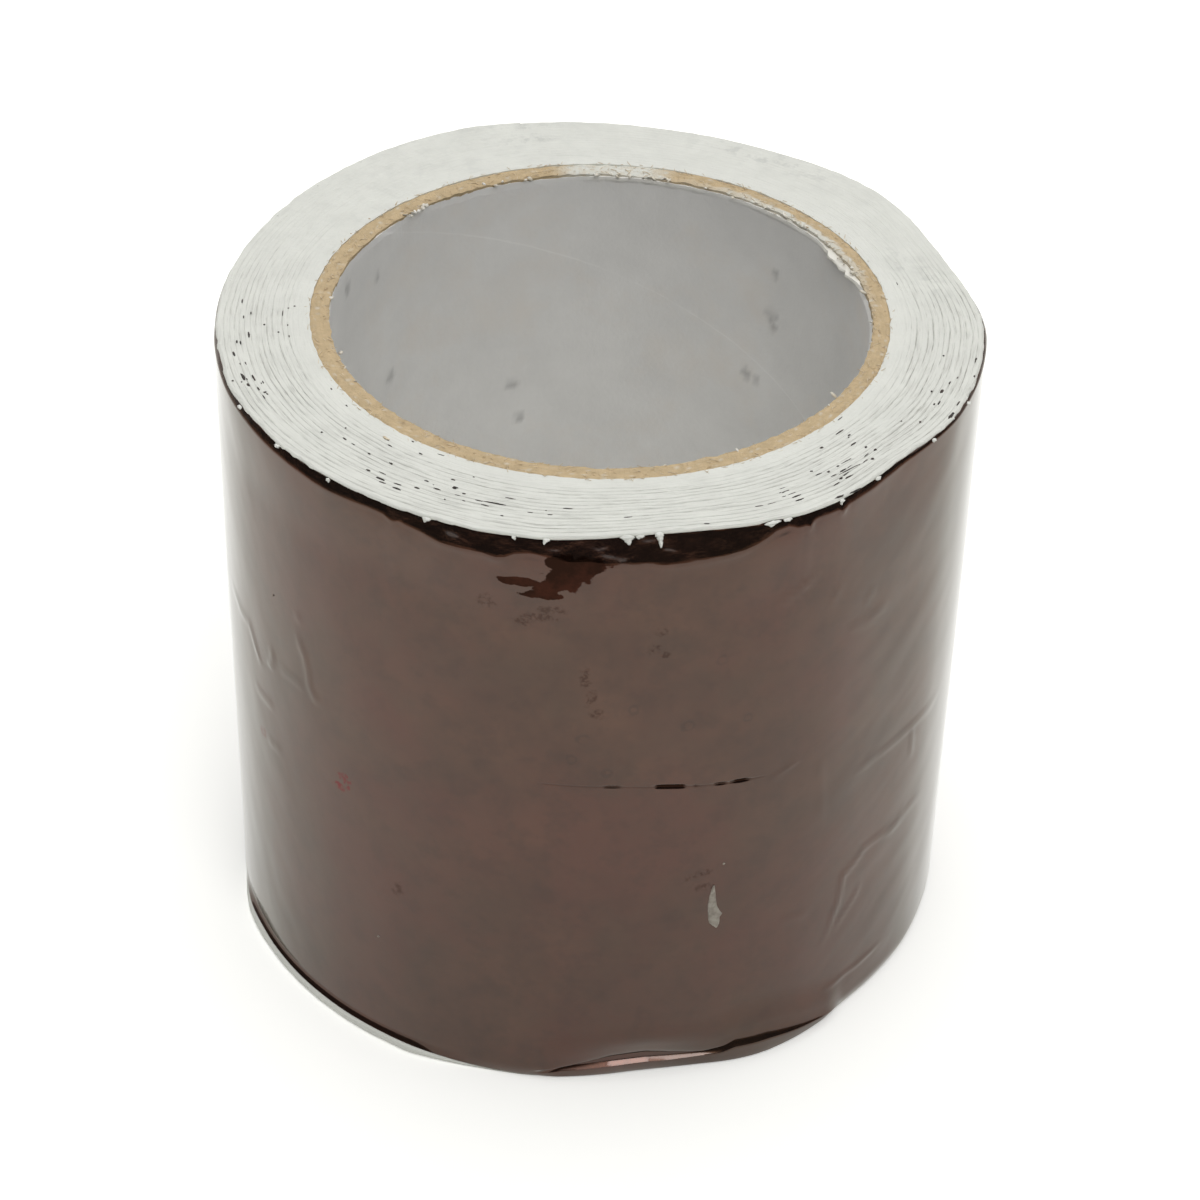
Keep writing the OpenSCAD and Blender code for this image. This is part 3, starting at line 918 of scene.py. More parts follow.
def pinched(angle, z, radius, size):
    """Radius of the film where its foot is pinched: an undercut crease over a slope and a lip."""
    strength = pinch_strength(angle)
    crease, slope, lip, reach = pinch_line(angle)
    off = z - crease
    base = roll_radius(angle, 0.0, size) - PINCH_SHIFT
    wall = roll_radius(angle, 12.0, size)
    high = PINCH_BULGE
    crest = -slope - 0.12
    below = lip * (0.3 + 0.7 * np.clip(z / np.maximum(0.3, crease + crest), 0, 1) ** 0.6)
    down = np.clip((-off - 0.1) / (slope - 0.1), 0, 1)
    sloping = PINCH_DEPTH + (lip - PINCH_DEPTH) * down ** 1.7
    bulge = PINCH_DEPTH + (reach - PINCH_DEPTH) * np.clip((off - 0.1) / (high - 0.1), 0, 1)
    above = reach + (wall - base - reach) * np.clip((off - high) / 5.0, 0, 1) ** 0.7
    shape = np.where(off < crest, below, np.where(off > high, above, np.where(off > 0, bulge, sloping)))
    fade = 1 - smooth((off - 2.5) / 5.0)
    return radius + (base + shape - radius) * strength * fade


def film_relief(angle, z, looks):
    """How far the film stands off its smooth shape."""
    place = polar(55.0, angle, z)
    tall = place * np.array((1, 1, 0.45))
    relief = looks.wrinkles * (0.16 * bumps(tall, 17.0, 21) + 0.05 * bumps(tall, 7.0, 22))
    right, left = swell(angle, -38, 26), swell(angle, -150, 24)
    arc = angle * ARC
    shallow = np.stack(((0.86 * arc + 0.5 * z) / 15.0, (0.86 * z - 0.5 * arc) / 5.2, 0 * arc), axis=-1)
    steep = np.stack(((0.42 * arc - 0.91 * z) / 11.0, (0.91 * arc + 0.42 * z) / 5.0, 0 * arc + 9.0), axis=-1)
    relief += looks.wrinkles * 0.09 * right * (bumps(shallow, 1.0, 23) + 0.3 * bumps(shallow * 2.1, 1.0, 29))
    relief += looks.wrinkles * 0.04 * left * (bumps(steep, 1.0, 28) + 0.3 * bumps(steep * 2.1, 1.0, 30))
    relief += looks.wrinkles * crease_relief(angle, z, place)
    fold = follow(FOLDS, angle)
    in_fold = smooth((z - TAPE_W + fold + 0.2) / 0.6) * np.clip(fold / 3, 0, 1)
    return relief + in_fold * (0.2 * bumps(place, 2.2, 24) + 0.06 * bumps(place, 0.9, 27))


def build_film(size, looks, material):
    """The brown film once round the roll, from where it goes under the free end to the free end."""
    end = size.end_direction / math.radians(1)
    stops = (end, 20.0, -200.0, end - 360.0)
    counts = (46, 352, 30)
    parts = [np.linspace(a, b, n, endpoint=False) for a, b, n in zip(stops, stops[1:], counts)]
    angle = np.append(np.concatenate(parts), stops[-1])
    columns = len(angle)
    share = (size.turns - 1 + (end - angle) / 360) / size.turns
    film = size.film_thickness / MM
    foot = film_foot(angle, size)
    top = TAPE_W - size.film_gap / MM + 0.1 * bumps(polar(55.0, angle, 0.0), 1.9, 31)
    fold = TAPE_W - follow(FOLDS, angle)
    slit = follow(SLIT, angle)
    crease, slope = pinch_line(angle)[:2]
    lip_row = np.maximum(crease - slope, foot + 0.5)
    crease_row = np.maximum(crease, lip_row + 0.4)
    levels = (
        (foot, 8), (lip_row, 16), (crease_row, 10), (crease_row + 1.0, 16), (foot * 0 + 9.0, 60),
        (slit - 0.7, 14), (slit + 0.7, 48), (fold - 1.0, 9),
        (fold + 0.4 * (top - fold), 14), (top, 0),
    )
    rows = [low + (high - low) * k / n for (low, n), (high, _) in zip(levels, levels[1:]) for k in range(n)]
    z = np.array(rows + [top])
    around = np.broadcast_to(angle, z.shape)
    smooth_out = pinched(around, z, wound(around, z, share, size), size)
    opening = slit_opening(around)
    wide = 0.12 + 0.24 * opening
    cut = np.clip(1.4 * opening, 0, 1) * np.exp(-((z - slit) / wide) ** 4)
    out = smooth_out + film_relief(around, z, looks) - 0.22 * cut

    inner_rows = (
        (foot, film), (foot + 0.7, film + 0.35), (foot * 0 + 8, film + 0.35), (foot * 0 + 50, film + 0.35),
        (foot * 0 + 92, film + 0.35), (TAPE_W - 1.2 + foot * 0, film + 0.35), (top, film),
    )
    under = [polar(pinched(angle, h, wound(angle, h, share, size), size) - thick, angle, h)
             for h, thick in inner_rows]
    points = np.concatenate((polar(out, around, z).reshape(-1, 3), np.array(under).reshape(-1, 3)))
    count, under_count = len(z), len(under)
    back = count * columns
    faces = sheet_faces(count, columns) + sheet_faces(under_count, columns, back)
    run = np.arange(columns - 1)
    for outer_row, inner_row in ((0, 0), (count - 1, under_count - 1)):
        a, b = outer_row * columns + run, back + inner_row * columns + run
        faces += np.stack((a, a + 1, b + 1, b), axis=1).tolist()
    for column in (0, columns - 1):
        outer_side = [row * columns + column for row in range(count)]
        inner_side = [back + row * columns + column for row in range(under_count)]
        faces.append(outer_side + inner_side[::-1])

    in_fold = smooth((z - fold) / 0.4) * smooth((top - z) / 0.3)
    rest = np.zeros(len(points) - back)
    values = {key: np.concatenate((v.ravel(), rest)) for key, v in
              (("arc", around * ARC), ("high", z), ("cut", cut), ("folded", in_fold))}
    piece = make_piece("tape_roll_film", points, faces, values)
    close_up(piece, 55.0)
    piece.data.materials.append(material)
    return piece


def flare(angle):
    """How far the core's inner rim is bent outwards."""
    return 0.12 + 0.32 * swell(angle, 5, 70)


def torn_away(angle):
    """Share of the lining's rim that is torn into pale tufts, by direction."""
    tufts = sum(strength * swell(angle, middle, half) for middle, half, strength in TUFTS)
    return np.minimum(1, 0.01 + tufts)


def seam_height(angle):
    """Height of the lining's spiral seam, which goes down once round the hole."""
    return TAPE_W - 0.1 - 0.28 * ((150 - angle) % 360)


def build_lining(material):
    """The paper lining, with a spiral seam and a torn top edge."""
    columns, rows, rim_rows = 400, 112, 10
    rim = 1.2
    angle = 150 - 360.0 * np.arange(columns) / columns
    tufts = torn_away(angle)
    wobble = 0.12 * bumps(polar(38.0, angle, 3.0), 1.1, 51) + 0.15 * bumps(polar(38.0, angle, 9.0), 4.0, 52)
    top = TAPE_W - 0.6 + wobble + 0.3 * tufts
    body = np.linspace(0, 1, rows - rim_rows, endpoint=False)[:, None] * (top - rim)
    z = np.concatenate((body, top - rim * np.linspace(1, 0, rim_rows)[:, None]))
    around = np.broadcast_to(angle, z.shape)
    over = z - seam_height(around)
    step = 0.08 * smooth((0.2 - over) / 0.3) * np.exp(-np.maximum(0, -over) / 7)
    place = polar(BORE_R, around, z)
    radius = BORE_R - step + 0.06 * bumps(place, 9.0, 53) + 0.02 * bumps(place, 2.5, 54)
    edge = np.clip((z - top + 1.0) / 1.0, 0, 1)
    flap = 1.4 * np.minimum(1, 1.4 * swell(around, 23, 12))
    flap = flap + 0.4 * swell(around, 44, 20) + 0.3 * swell(around, 80, 30)
    flap = flap * (0.75 + 0.4 * bumps(place, 1.3, 55) + 0.3 * bumps(place, 3.0, 58))
    ragged = 0.22 * tufts * (0.5 + bumps(place, 0.9, 55))
    radius = radius + edge * (flare(around) - ragged) - smooth(edge * 1.6) * flap
    outer_z = np.array([np.zeros(columns), top * 0.5, top])
    outer_around = np.broadcast_to(angle, outer_z.shape)
    outer_radius = LINING_R + flare(outer_around) * np.array([0.0, 0.0, 1.0])[:, None]
    points = np.concatenate((
        polar(radius, around, z).reshape(-1, 3),
        polar(outer_radius, outer_around, outer_z).reshape(-1, 3),
    ))
    back = rows * columns
    faces = sheet_faces(rows, columns, 0, True) + sheet_faces(3, columns, back, True)
    run = np.arange(columns)
    after = (run + 1) % columns
    for inner_row, outer_row in ((0, 0), (rows - 1, 2)):
        a, b = inner_row * columns, back + outer_row * columns
        faces += np.stack((a + run, a + after, b + after, b + run), axis=1).tolist()
    scuff = np.zeros(z.shape)
    for direction, height, half in SCUFFS:
        apart = wrap(around - direction) * BORE_ARC
        reach = np.hypot(apart, z - height) / half
        scuff = np.maximum(scuff, 0.6 * smooth(1.4 - reach + 0.8 * bumps(place, 1.2, 57)))
    side = np.zeros(3 * columns)
    values = {
        "over": np.concatenate((over.ravel(), side + 9)),
        "scuff": np.concatenate((np.clip(scuff, 0, 1).ravel(), side)),
        "torn": np.concatenate((
            np.clip(smooth((z - top + 0.8) / 0.4) * (tufts + 1.5 * flap), 0, 1).ravel(),
            np.tile(np.clip(tufts + 1.5 * flap[-1], 0.15, 1), 3))),
    }
    piece = make_piece("tape_roll_lining", points, faces, values)
    close_up(piece, 60.0)
    piece.data.materials.append(material)
    return piece


def build_tube(material):
    """The kraft tube, with rough cut edges and the plies that they show."""
    columns = 480
    angle = -360.0 * np.arange(columns) / columns
    ring = np.linspace(LINING_R, CORE_R, 14)
    profile = [(r, TAPE_W, 1.0) for r in ring] + [(CORE_R, h, 0.0) for h in (98.5, 50.0, 1.5)]
    profile += [(r, 0.0, 1.0) for r in ring[::-2]] + [(LINING_R, h, 0.0) for h in (1.5, 50.0, 98.5)]
    points, ply, whitened = [], [], []
    for radius, z, rough in profile:
        place = polar(radius, angle, z)
        at_side = (radius in (LINING_R, CORE_R)) * rough
        sign = 1 if z > TAPE_W / 2 else -1
        fray = 0.22 * bumps(place, 1.1, 61) + 0.12 * bumps(place, 3.0, 62)
        lift = 0.16 * bumps(place, 0.8, 63) + 0.12 * bumps(place, 2.6, 64) - 0.12 * at_side
        share = (radius - LINING_R) / (CORE_R - LINING_R)
        on_top = rough * (sign > 0)
        sunk = 0.22 * on_top * np.clip((share - 0.8) / 0.15, 0, 1)
        bent = on_top * (flare(angle) * (1 - share) - 0.3 * (share < 0.01))
        points.append(polar(radius + fray * at_side + bent, angle, z + sign * rough * (lift - 0.05) - sunk))
        wavy = share * 5 + 0.25 * bumps(place, 5.0, 65)
        dark = np.clip(np.cos(2 * np.pi * wavy) - 0.35, 0, 1)
        ply.append(rough * dark * (0.4 + 0.5 * bumps(place, 2.0, 66)))
        pale = np.minimum(1, 2.4 * swell(angle, 88, 15)) * (0.9 + 0.4 * bumps(place, 1.0, 67))
        pale = pale + 0.5 * smooth(bumps(place, 0.7, 68) * 2.2 - 0.6)
        inner_edge = smooth((0.3 - share + 0.25 * bumps(place, 1.2, 69)) / 0.15)
        pale = pale + 0.9 * swell(angle, 40, 42) * inner_edge
        whitened.append(rough * pale)
    faces = sheet_faces(len(profile), columns, 0, True)
    run = np.arange(columns)
    low, high = (len(profile) - 1) * columns, 0
    after = (run + 1) % columns
    faces += np.stack((low + run, low + after, high + after, high + run), axis=1).tolist()
    values = {"ply": np.clip(np.concatenate(ply), 0, 1), "whitened": np.clip(np.concatenate(whitened), 0, 1)}
    piece = make_piece("tape_roll_tube", np.concatenate(points), faces, values)
    close_up(piece, 60.0)
    piece.data.materials.append(material)
    return piece


def path_piece(name, lines):
    """A piece of loose edges along lines of points, with the chance of a bit at each point."""
    points, edges, chance = [], [], []
    for line, likely in lines:
        start = len(points)
        points.extend((line * MM).tolist())
        edges.extend((start + k, start + k + 1) for k in range(len(line) - 1))
        chance.extend(likely.tolist())
    mesh = bpy.data.meshes.new(name)
    mesh.from_pydata(points, edges, [])
    mesh.attributes.new("chance", "FLOAT", "POINT").data.foreach_set("value", chance)
    piece = bpy.data.objects.new(name, mesh)
    bpy.context.scene.collection.objects.link(piece)
    return piece


def scatter(name, lines, tree, material, spacing, share, size, least, most, tilt, shift, seed):
    """A piece of small bits laid along lines; lengths are in millimetres and tilts in radians."""
    piece = path_piece(name, lines)
    run_nodes(piece, tree, {
        "Spacing": spacing * MM, "Share": share, "Size": [v * MM for v in size],
        "Least scale": least, "Most scale": most, "Tilt": tilt, "Shift": [v * MM for v in shift],
        "Seed": seed, "Material": material,
    })
    piece.data.shade_smooth()
    return piece


def speck_lines(size):
    """Paths along the lines of the top face, with the chance that the film's edge shows there."""
    end = size.end_direction / math.radians(1)
    lines = []
    for turn in range(1, size.turns):
        angle = end - np.linspace(0, 360, 400)
        share = (turn - 1 + np.linspace(0, 1, 400)) / size.turns
        radius = wound(angle, TAPE_W, share, size)
        chance = np.zeros(len(angle))
        for direction, middle, along, across, likely in SPECKS:
            apart = wrap(angle - direction)
            chance += likely * np.exp(-(apart / along) ** 2 - ((radius - middle) / across) ** 2)
        lines.append((polar(radius, angle, TAPE_W), chance))
    return lines


def ring_line(radius, z, chance_at, seed):
    angle = np.linspace(0, 360, 600)
    radius = radius + 0.1 * bumps(polar(50.0, angle, 0.0), 2.0, seed)
    return [(polar(radius, angle, z), np.clip(chance_at(angle), 0, 1))]


def blob(work, centre, axes, half, seed, rough=0.18):
    """A rounded lump with its own three axes."""
    made = bmesh.ops.create_icosphere(work, subdivisions=3, radius=1.0)["verts"]
    turn = Matrix([[a[k] for a in axes] for k in range(3)])
    for vert in made:
        swollen = vert.co * (1 + rough * noise.noise(vert.co * 1.7 + Vector((seed * 3.1, 0, 0))))
        vert.co = (Vector(centre) + turn @ Vector([swollen[k] * half[k] for k in range(3)])) * MM


def wall_axes(angle):
    a = math.radians(angle)
    return (math.cos(a), math.sin(a), 0), (-math.sin(a), math.cos(a), 0), (0, 0, 1)


def film_outside(angle, z, size):
    """Radius of the film's outside at one place on the outermost turn."""
    end = size.end_direction / math.radians(1)
    share = (size.turns - 1 + ((end - angle) % 360) / 360) / size.turns
    return float(wound(np.array(float(angle)), np.array(float(z)), share, size))


def piece_of(name, work, material):
    """A smooth piece from a mesh that is being built."""
    mesh = bpy.data.meshes.new(name)
    work.to_mesh(mesh)
    work.free()
    piece = bpy.data.objects.new(name, mesh)
    bpy.context.scene.collection.objects.link(piece)
    mesh.shade_smooth()
    mesh.materials.append(material)
    return piece


def build_drips(size, material):
    """Butyl squeezed over the film's top edge."""
    work = bmesh.new()
    for number, (angle, drop, wide) in enumerate(DRIPS):
        for part, (share, width) in enumerate(((0.0, 1.0), (0.35, 0.7), (0.7, 0.45), (0.9, 0.3))):
            z = LIP_HEIGHT - drop * share
            out = film_outside(angle, z - 0.15, size) + (0.12 if part == 0 else 0.02)
            half = (0.28 - 0.1 * share, wide * width, 0.16 + 0.17 * drop)
            centre = polar(out, angle + 0.25 * share * (-1) ** number, z)
            blob(work, centre, wall_axes(angle), half, number + 20 * part, 0.4)
    return piece_of("tape_roll_drips", work, material)


def build_stuck(size, material):
    """Small bits and a shred of old butyl that stick to the film."""
    work = bmesh.new()
    for number, (angle, z, half) in enumerate(STUCK):
        out = film_outside(angle, z, size)
        blob(work, polar(out, angle, z), wall_axes(angle), (0.12, half, half), number + 80)
    across = np.linspace(-1, 1, 9)
    rings = []
    for z, angle, half in SHRED:
        spots = angle + across * half / ARC
        ridge = 0.06 + 0.14 * (1 - across ** 2) + 0.07 * bumps(polar(55.0, spots, z), 0.8, 81)
        outs = np.array([film_outside(a, z, size) for a in spots])
        front = polar(outs + ridge * (abs(across) < 1), spots, z)
        behind = polar(outs - 0.3, spots, z)[::-1]
        rings.append([work.verts.new((p * MM).tolist()) for p in (*front, *behind)])
    for low, high in zip(rings, rings[1:]):
        for k in range(len(low)):
            work.faces.new((low[k], low[k - 1], high[k - 1], high[k]))
    work.faces.new(rings[0])
    work.faces.new(rings[-1][::-1])
    bmesh.ops.recalc_face_normals(work, faces=work.faces)
    return piece_of("tape_roll_shred", work, material)


def build_chip(material):
    """A chip of kraft board that was dropped on the top face."""
    work = bmesh.new()
    angle, radius, long, wide = CHIP
    blob(work, polar(radius, angle, TAPE_W), wall_axes(angle), (wide, long, 0.16), 200, 0.7)
    return piece_of("tape_roll_chip", work, material)


def build_gaps(material):
    """The larger dark gaps in the top face, where the film's edge shows."""
    work = bmesh.new()
    for number, (angle, radius, length, wide) in enumerate(GAPS):
        half = (wide / 2, length / 2, 0.1)
        blob(work, polar(radius, angle, TAPE_W), wall_axes(angle), half, number + 120, 0.5)
    return piece_of("tape_roll_gaps", work, material)


# Studio

def build_floor(looks):
    """A plain pale floor."""
    half = 4.0
    mesh = bpy.data.meshes.new("floor")
    corners = [(-half, -half, 0), (half, -half, 0), (half, half, 0), (-half, half, 0)]
    mesh.from_pydata(corners, [], [(0, 1, 2, 3)])
    floor = bpy.data.objects.new("floor", mesh)
    bpy.context.scene.collection.objects.link(floor)
    colour = tuple(looks.floor_colour)
    material, tree, node = shader("pale floor", colour, Roughness=0.9, Specular_IOR_Level=0.0)
    rays = add(tree, "ShaderNodeLightPath").outputs
    seen = calc(tree, "ADD", rays["Is Camera Ray"], rays["Is Glossy Ray"])
    seen = calc(tree, "ADD", seen, rays["Is Transmission Ray"], clamp=True)
    node.inputs["Emission Color"].default_value = (1, 1, 1, 1)
    tree.links.new(times(tree, seen, looks.floor_glow), node.inputs["Emission Strength"])
    mesh.materials.append(material)


def build_world(looks):
    """A pale room: bright above, and dim beside and behind the camera."""
    world = bpy.data.worlds.new("studio")
    world.use_nodes = True
    bpy.context.scene.world = world
    tree = world.node_tree
    sight = add(tree, "ShaderNodeTexCoord").outputs["Generated"]
    parts = add(tree, "ShaderNodeSeparateXYZ", {0: sight}).outputs
    above = band(tree, parts["Z"], math.sin(math.radians(38)), math.sin(math.radians(56)))
    below = band(tree, parts["Z"], 0.02, -0.02)
    behind = band(tree, parts["Y"], 0.25, 0.75)
    wall = tint(tree, behind, (looks.dim_wall,) * 3, (0.85, 0.85, 0.85))
    lit = tint(tree, above, wall, (looks.sky_strength,) * 3)
    ground = tint(tree, below, lit, (0.85, 0.85, 0.85))
    tree.links.new(ground, tree.nodes["Background"].inputs["Color"])


def build_lamp(name, place, target, side, radiance):
    """A square soft lamp of that radiance, turned to a point."""
    data = bpy.data.lights.new(name, "AREA")
    data.shape = "SQUARE"
    data.size = side
    data.energy = radiance * math.pi * side * side
    lamp = bpy.data.objects.new(name, data)
    bpy.context.scene.collection.objects.link(lamp)
    lamp.location = place
    lamp.rotation_euler = (Vector(target) - Vector(place)).to_track_quat("-Z", "Y").to_euler()
    return lamp


def build_camera():
    """The photograph's viewpoint: above the front, looking down at the roll."""
    down, roll = math.radians(CAMERA_DOWN), math.radians(CAMERA_ROLL)
    forward = Vector((0, math.cos(down), -math.sin(down)))
    level, upright = Vector((1, 0, 0)), Vector((0, math.sin(down), math.cos(down)))
    right = level * math.cos(roll) + upright * math.sin(roll)
    up = upright * math.cos(roll) - level * math.sin(roll)
    data = bpy.data.cameras.new("camera")
    data.sensor_width = 36.0
    data.lens = CAMERA_LENS
    data.clip_start = 0.01
    camera = bpy.data.objects.new("camera", data)
    bpy.context.scene.collection.objects.link(camera)
    turn = Matrix((right, up, -forward)).transposed().to_4x4()
    camera.matrix_world = Matrix.Translation(Vector(CAMERA_PLACE) * MM) @ turn
    bpy.context.scene.camera = camera


# Settings

class RollSizes(bpy.types.PropertyGroup):
    """Sizes of the roll."""

    turns: IntProperty(name="Turns", description="Number of turns on the core", default=17, min=6, max=22)
    turn_thickness: FloatProperty(
        name="Turn thickness", description="Thickness of one turn of the tape", default=0.82 * MM,
        unit="LENGTH")
    film_thickness: FloatProperty(
        name="Film thickness", description="Thickness of the brown film", default=0.25 * MM, unit="LENGTH")
    film_gap: FloatProperty(
        name="Film gap", description="Height by which the film stops short of an end face", default=0.3 * MM,
        unit="LENGTH")
    end_direction: FloatProperty(
        name="End direction", description="Direction of the tape's free end, from the +X axis",
        default=math.radians(104), subtype="ANGLE")


class RollLooks(bpy.types.PropertyGroup):
    """Colours and surface of the roll."""

    butyl_colour: FloatVectorProperty(
        name="Butyl", description="Colour of the white butyl", default=(0.72, 0.725, 0.67), subtype="COLOR",
        min=0, max=1)
    film_colour: FloatVectorProperty(
        name="Film", description="Colour of the brown film", default=(0.0625, 0.028, 0.0152),
        subtype="COLOR", min=0, max=1)
    film_edge_tint: FloatVectorProperty(
        name="Film edge", description="Tint of the film seen at a grazing angle", default=(0.55, 0.55, 0.5),
        subtype="COLOR", min=0, max=1)
    kraft_colour: FloatVectorProperty(
        name="Kraft board", description="Colour of the tube's board", default=(0.57, 0.44, 0.27),
        subtype="COLOR", min=0, max=1)
    lining_colour: FloatVectorProperty(
        name="Lining", description="Colour of the paper lining", default=(0.79, 0.785, 0.765),
        subtype="COLOR", min=0, max=1)
    line_depth: FloatProperty(
        name="Line depth", description="Depth of the line between two turns", default=0.2 * MM,
        unit="LENGTH")
    line_darkness: FloatProperty(
        name="Line darkness", description="How dark the line between two turns is", default=0.85,
        min=0, max=1)
    unevenness: FloatProperty(
        name="Unevenness", description="Height of the end faces' bumps", default=0.35 * MM, unit="LENGTH")
    wrinkles: FloatProperty(
        name="Wrinkles", description="How much the film wrinkles", default=1.0, min=0, max=3)
    bits: FloatProperty(
        name="Bits", description="Share of the specks, fibres and crumbs", default=1.0, min=0, max=3)


class StudioLooks(bpy.types.PropertyGroup):
    """Floor and light."""

    floor_colour: FloatVectorProperty(
        name="Floor", description="Colour of the floor", default=(0.96, 0.96, 0.92),
        subtype="COLOR", min=0, max=1)
    floor_glow: FloatProperty(
        name="Floor glow", description="How much whiter the floor looks than it is lit", default=0.3,
        min=0, max=1)
    sky_strength: FloatProperty(
        name="Sky", description="Brightness of the room overhead", default=1.5, min=0, max=5)
    dim_wall: FloatProperty(
        name="Dim wall", description="Brightness of the room on the camera's side", default=0.085,
        min=0, max=2)
    lamp: FloatProperty(name="Lamp", description="Brightness of the soft lamp", default=5.5, min=0, max=20)


# Operators

class TAPE_OT_winding(bpy.types.Operator):
    """Make the white winding with the lines between its turns"""

    bl_idname = "tape_roll.winding"
    bl_label = "Winding"

    def execute(self, context):
        scene = context.scene
        material = butyl_material(scene.roll_looks)
        dress(build_winding(scene.roll_sizes, scene.roll_looks, material), "white_butyl", "tape_winding")
        return {"FINISHED"}


class TAPE_OT_film(bpy.types.Operator):
    """Make the wrinkled brown film round the outside"""

    bl_idname = "tape_roll.film"
    bl_label = "Film"

    def execute(self, context):
        scene = context.scene
        material = film_material(scene.roll_looks)
        dress(build_film(scene.roll_sizes, scene.roll_looks, material), "brown_film", "foil_facing")
        return {"FINISHED"}


class TAPE_OT_core(bpy.types.Operator):
    """Make the kraft tube and its paper lining"""

    bl_idname = "tape_roll.core"
    bl_label = "Core"

    def execute(self, context):
        looks = context.scene.roll_looks
        dress(build_tube(kraft_material(looks)), "kraft_board", "core_tube")
        dress(build_lining(lining_material(looks)), "lining_paper", "core_lining")
        return {"FINISHED"}


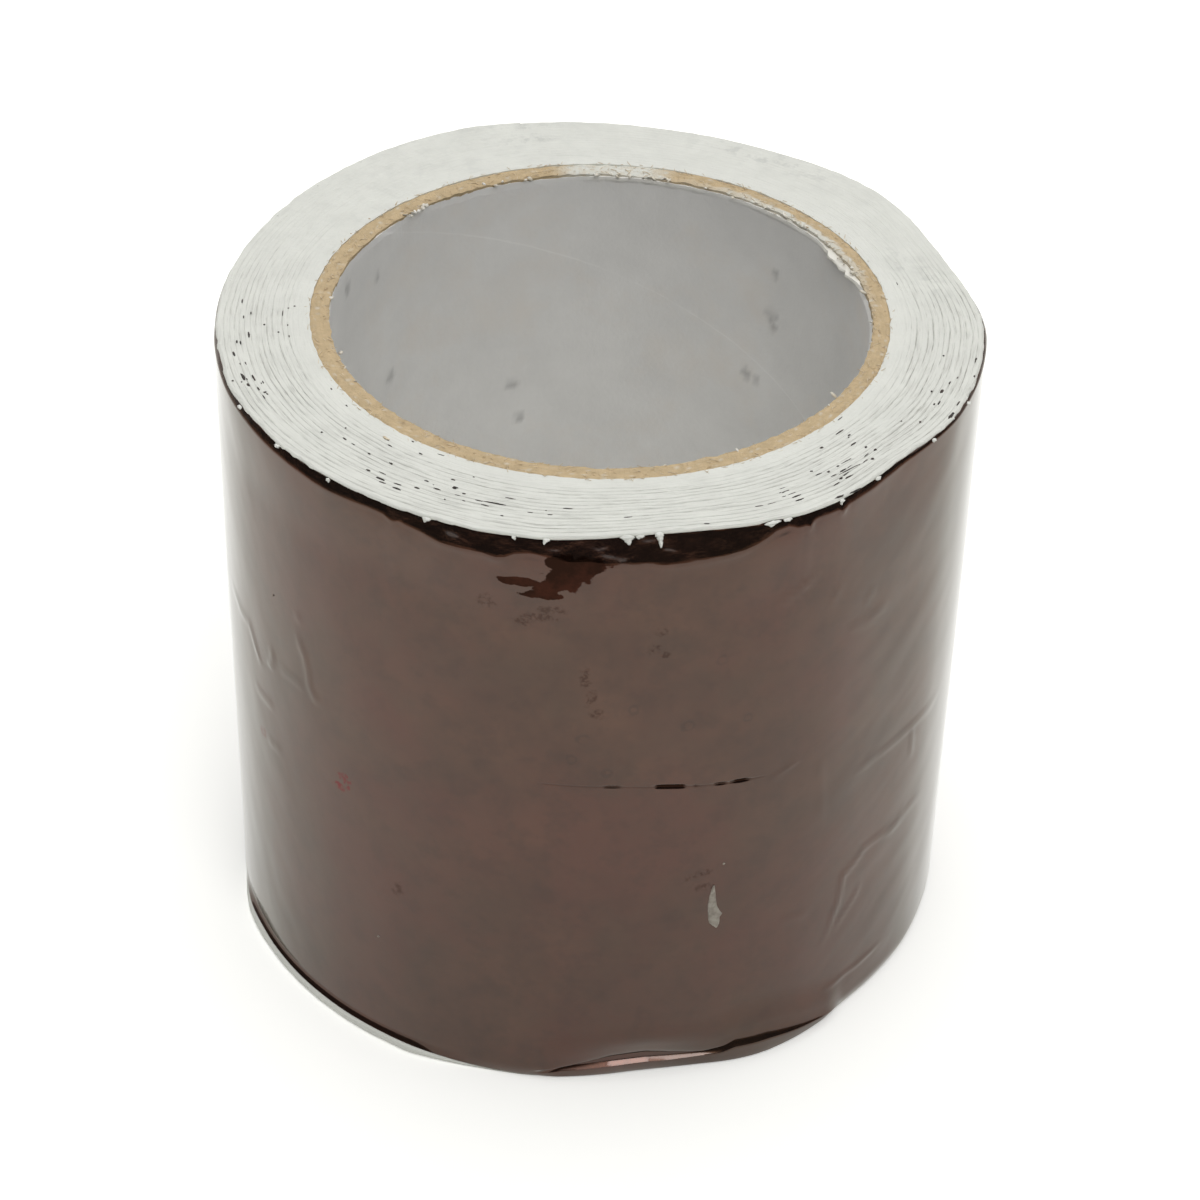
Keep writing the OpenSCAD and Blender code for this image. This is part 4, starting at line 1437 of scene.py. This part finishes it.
class TAPE_OT_bits(bpy.types.Operator):
    """Scatter the specks, fibres, flakes and crumbs along their paths"""

    bl_idname = "tape_roll.bits"
    bl_label = "Specks and fibres"

    def execute(self, context):
        size, looks = context.scene.roll_sizes, context.scene.roll_looks
        tree = scatter_tree()
        dark = plain_material("film edge", (0.012, 0.008, 0.006), (0.05, 0.03, 0.02), 900, 0.5)
        fibre = plain_material("board fibre", (0.5, 0.36, 0.2), (0.75, 0.66, 0.5), 800, 0.9)
        flake = plain_material("torn paper", (0.66, 0.6, 0.48), (0.82, 0.8, 0.74), 700, 0.85)
        crumb = plain_material("butyl crumb", (0.68, 0.685, 0.64), (0.78, 0.785, 0.74), 400, 0.5)
        bits = looks.bits
        specks = scatter(
            "tape_roll_specks", speck_lines(size), tree, dark, 0.45, bits, (1.0, 0.22, 0.12),
            (0.25, 0.6, 0.6), (1.7, 1.4, 1.0), (0.05, 0.05, 0.12), (0.1, 0.1, 0.0), 5)
        dress(specks, "brown_film")
        dress(build_gaps(dark), "brown_film")
        dress(build_chip(fibre), "kraft_board")
        edges = (LINING_R + 0.2, LINING_R + 0.9, CORE_R - 0.8, CORE_R - 0.1)
        round_edge = [line for radius in edges
                      for line in ring_line(radius, TAPE_W, lambda a: 0.35 + 0 * a, int(radius * 10))]
        fibres = scatter(
            "tape_roll_fibres", round_edge, tree, fibre, 0.5, bits, (1.3, 0.1, 0.1), (0.4, 0.6, 0.6),
            (1.3, 1.2, 1.2), (0.2, 0.5, 1.2), (0.25, 0.25, 0.1), 7)
        dress(fibres, "kraft_board")
        inner = BORE_R + flare(np.linspace(0, 360, 600))
        torn = [line for out in (-0.5, -0.1, 0.15)
                for line in ring_line(inner + out, TAPE_W - 0.1, torn_away, 71)]
        flakes = scatter(
            "tape_roll_flakes", torn, tree, flake, 0.5, bits, (1.4, 0.7, 0.26), (0.3, 0.4, 0.5),
            (1.2, 1.2, 1.2), (0.7, 0.7, 1.6), (0.25, 0.25, 0.15), 9)
        dress(flakes, "lining_paper")
        edge_angle = np.linspace(-256, 104, 700)
        edge_r = [film_outside(a, TAPE_W, size) for a in edge_angle]
        likely = 0.12 + 0.3 * swell(edge_angle, -20, 25) + 0.25 * swell(edge_angle, -55, 14)
        rim = [(polar(np.array(edge_r) - 0.15, edge_angle, TAPE_W - 0.15), likely)]
        crumbs = scatter(
            "tape_roll_crumbs", rim, tree, crumb, 0.6, bits, (0.6, 0.3, 0.26), (0.3, 0.5, 0.5),
            (1.5, 1.3, 1.3), (0.3, 0.3, 0.5), (0.15, 0.15, 0.15), 11)
        dress(crumbs, "white_butyl")
        dress(build_drips(size, crumb), "white_butyl")
        old = plain_material("old butyl", (0.2, 0.17, 0.14), (0.34, 0.31, 0.26), 900, 0.55)
        dress(build_stuck(size, old), "white_butyl")
        return {"FINISHED"}


class TAPE_OT_studio(bpy.types.Operator):
    """Set up the floor, the light and the camera"""

    bl_idname = "tape_roll.studio"
    bl_label = "Studio"

    def execute(self, context):
        looks = context.scene.studio_looks
        build_floor(looks)
        build_world(looks)
        build_lamp("soft lamp", LAMP_PLACE, (0, 0, TAPE_W / 2 * MM), LAMP_SIDE, looks.lamp)
        build_camera()
        context.scene.view_settings.view_transform = "Standard"
        return {"FINISHED"}


class TAPE_PT_panel(bpy.types.Panel):
    """Lists the settings and the steps"""

    bl_idname = "TAPE_PT_panel"
    bl_label = "Tape roll"
    bl_space_type = "VIEW_3D"
    bl_region_type = "UI"
    bl_category = "Tape roll"

    def draw(self, context):
        layout = self.layout
        for group in (context.scene.roll_sizes, context.scene.roll_looks, context.scene.studio_looks):
            box = layout.box()
            for key in group.__annotations__:
                box.prop(group, key)
        for operator in OPERATORS:
            layout.operator(operator.bl_idname)


OPERATORS = (TAPE_OT_winding, TAPE_OT_film, TAPE_OT_core, TAPE_OT_bits, TAPE_OT_studio)
CLASSES = (RollSizes, RollLooks, StudioLooks, *OPERATORS, TAPE_PT_panel)


def register():
    for each in CLASSES:
        bpy.utils.register_class(each)
    bpy.types.Scene.roll_sizes = PointerProperty(type=RollSizes)
    bpy.types.Scene.roll_looks = PointerProperty(type=RollLooks)
    bpy.types.Scene.studio_looks = PointerProperty(type=StudioLooks)


def unregister():
    del bpy.types.Scene.roll_sizes, bpy.types.Scene.roll_looks, bpy.types.Scene.studio_looks
    for each in reversed(CLASSES):
        bpy.utils.unregister_class(each)


def main():
    register()
    bpy.ops.tape_roll.winding()
    bpy.ops.tape_roll.film()
    bpy.ops.tape_roll.core()
    bpy.ops.tape_roll.bits()
    bpy.ops.tape_roll.studio()


if __name__ == "__main__":
    main()
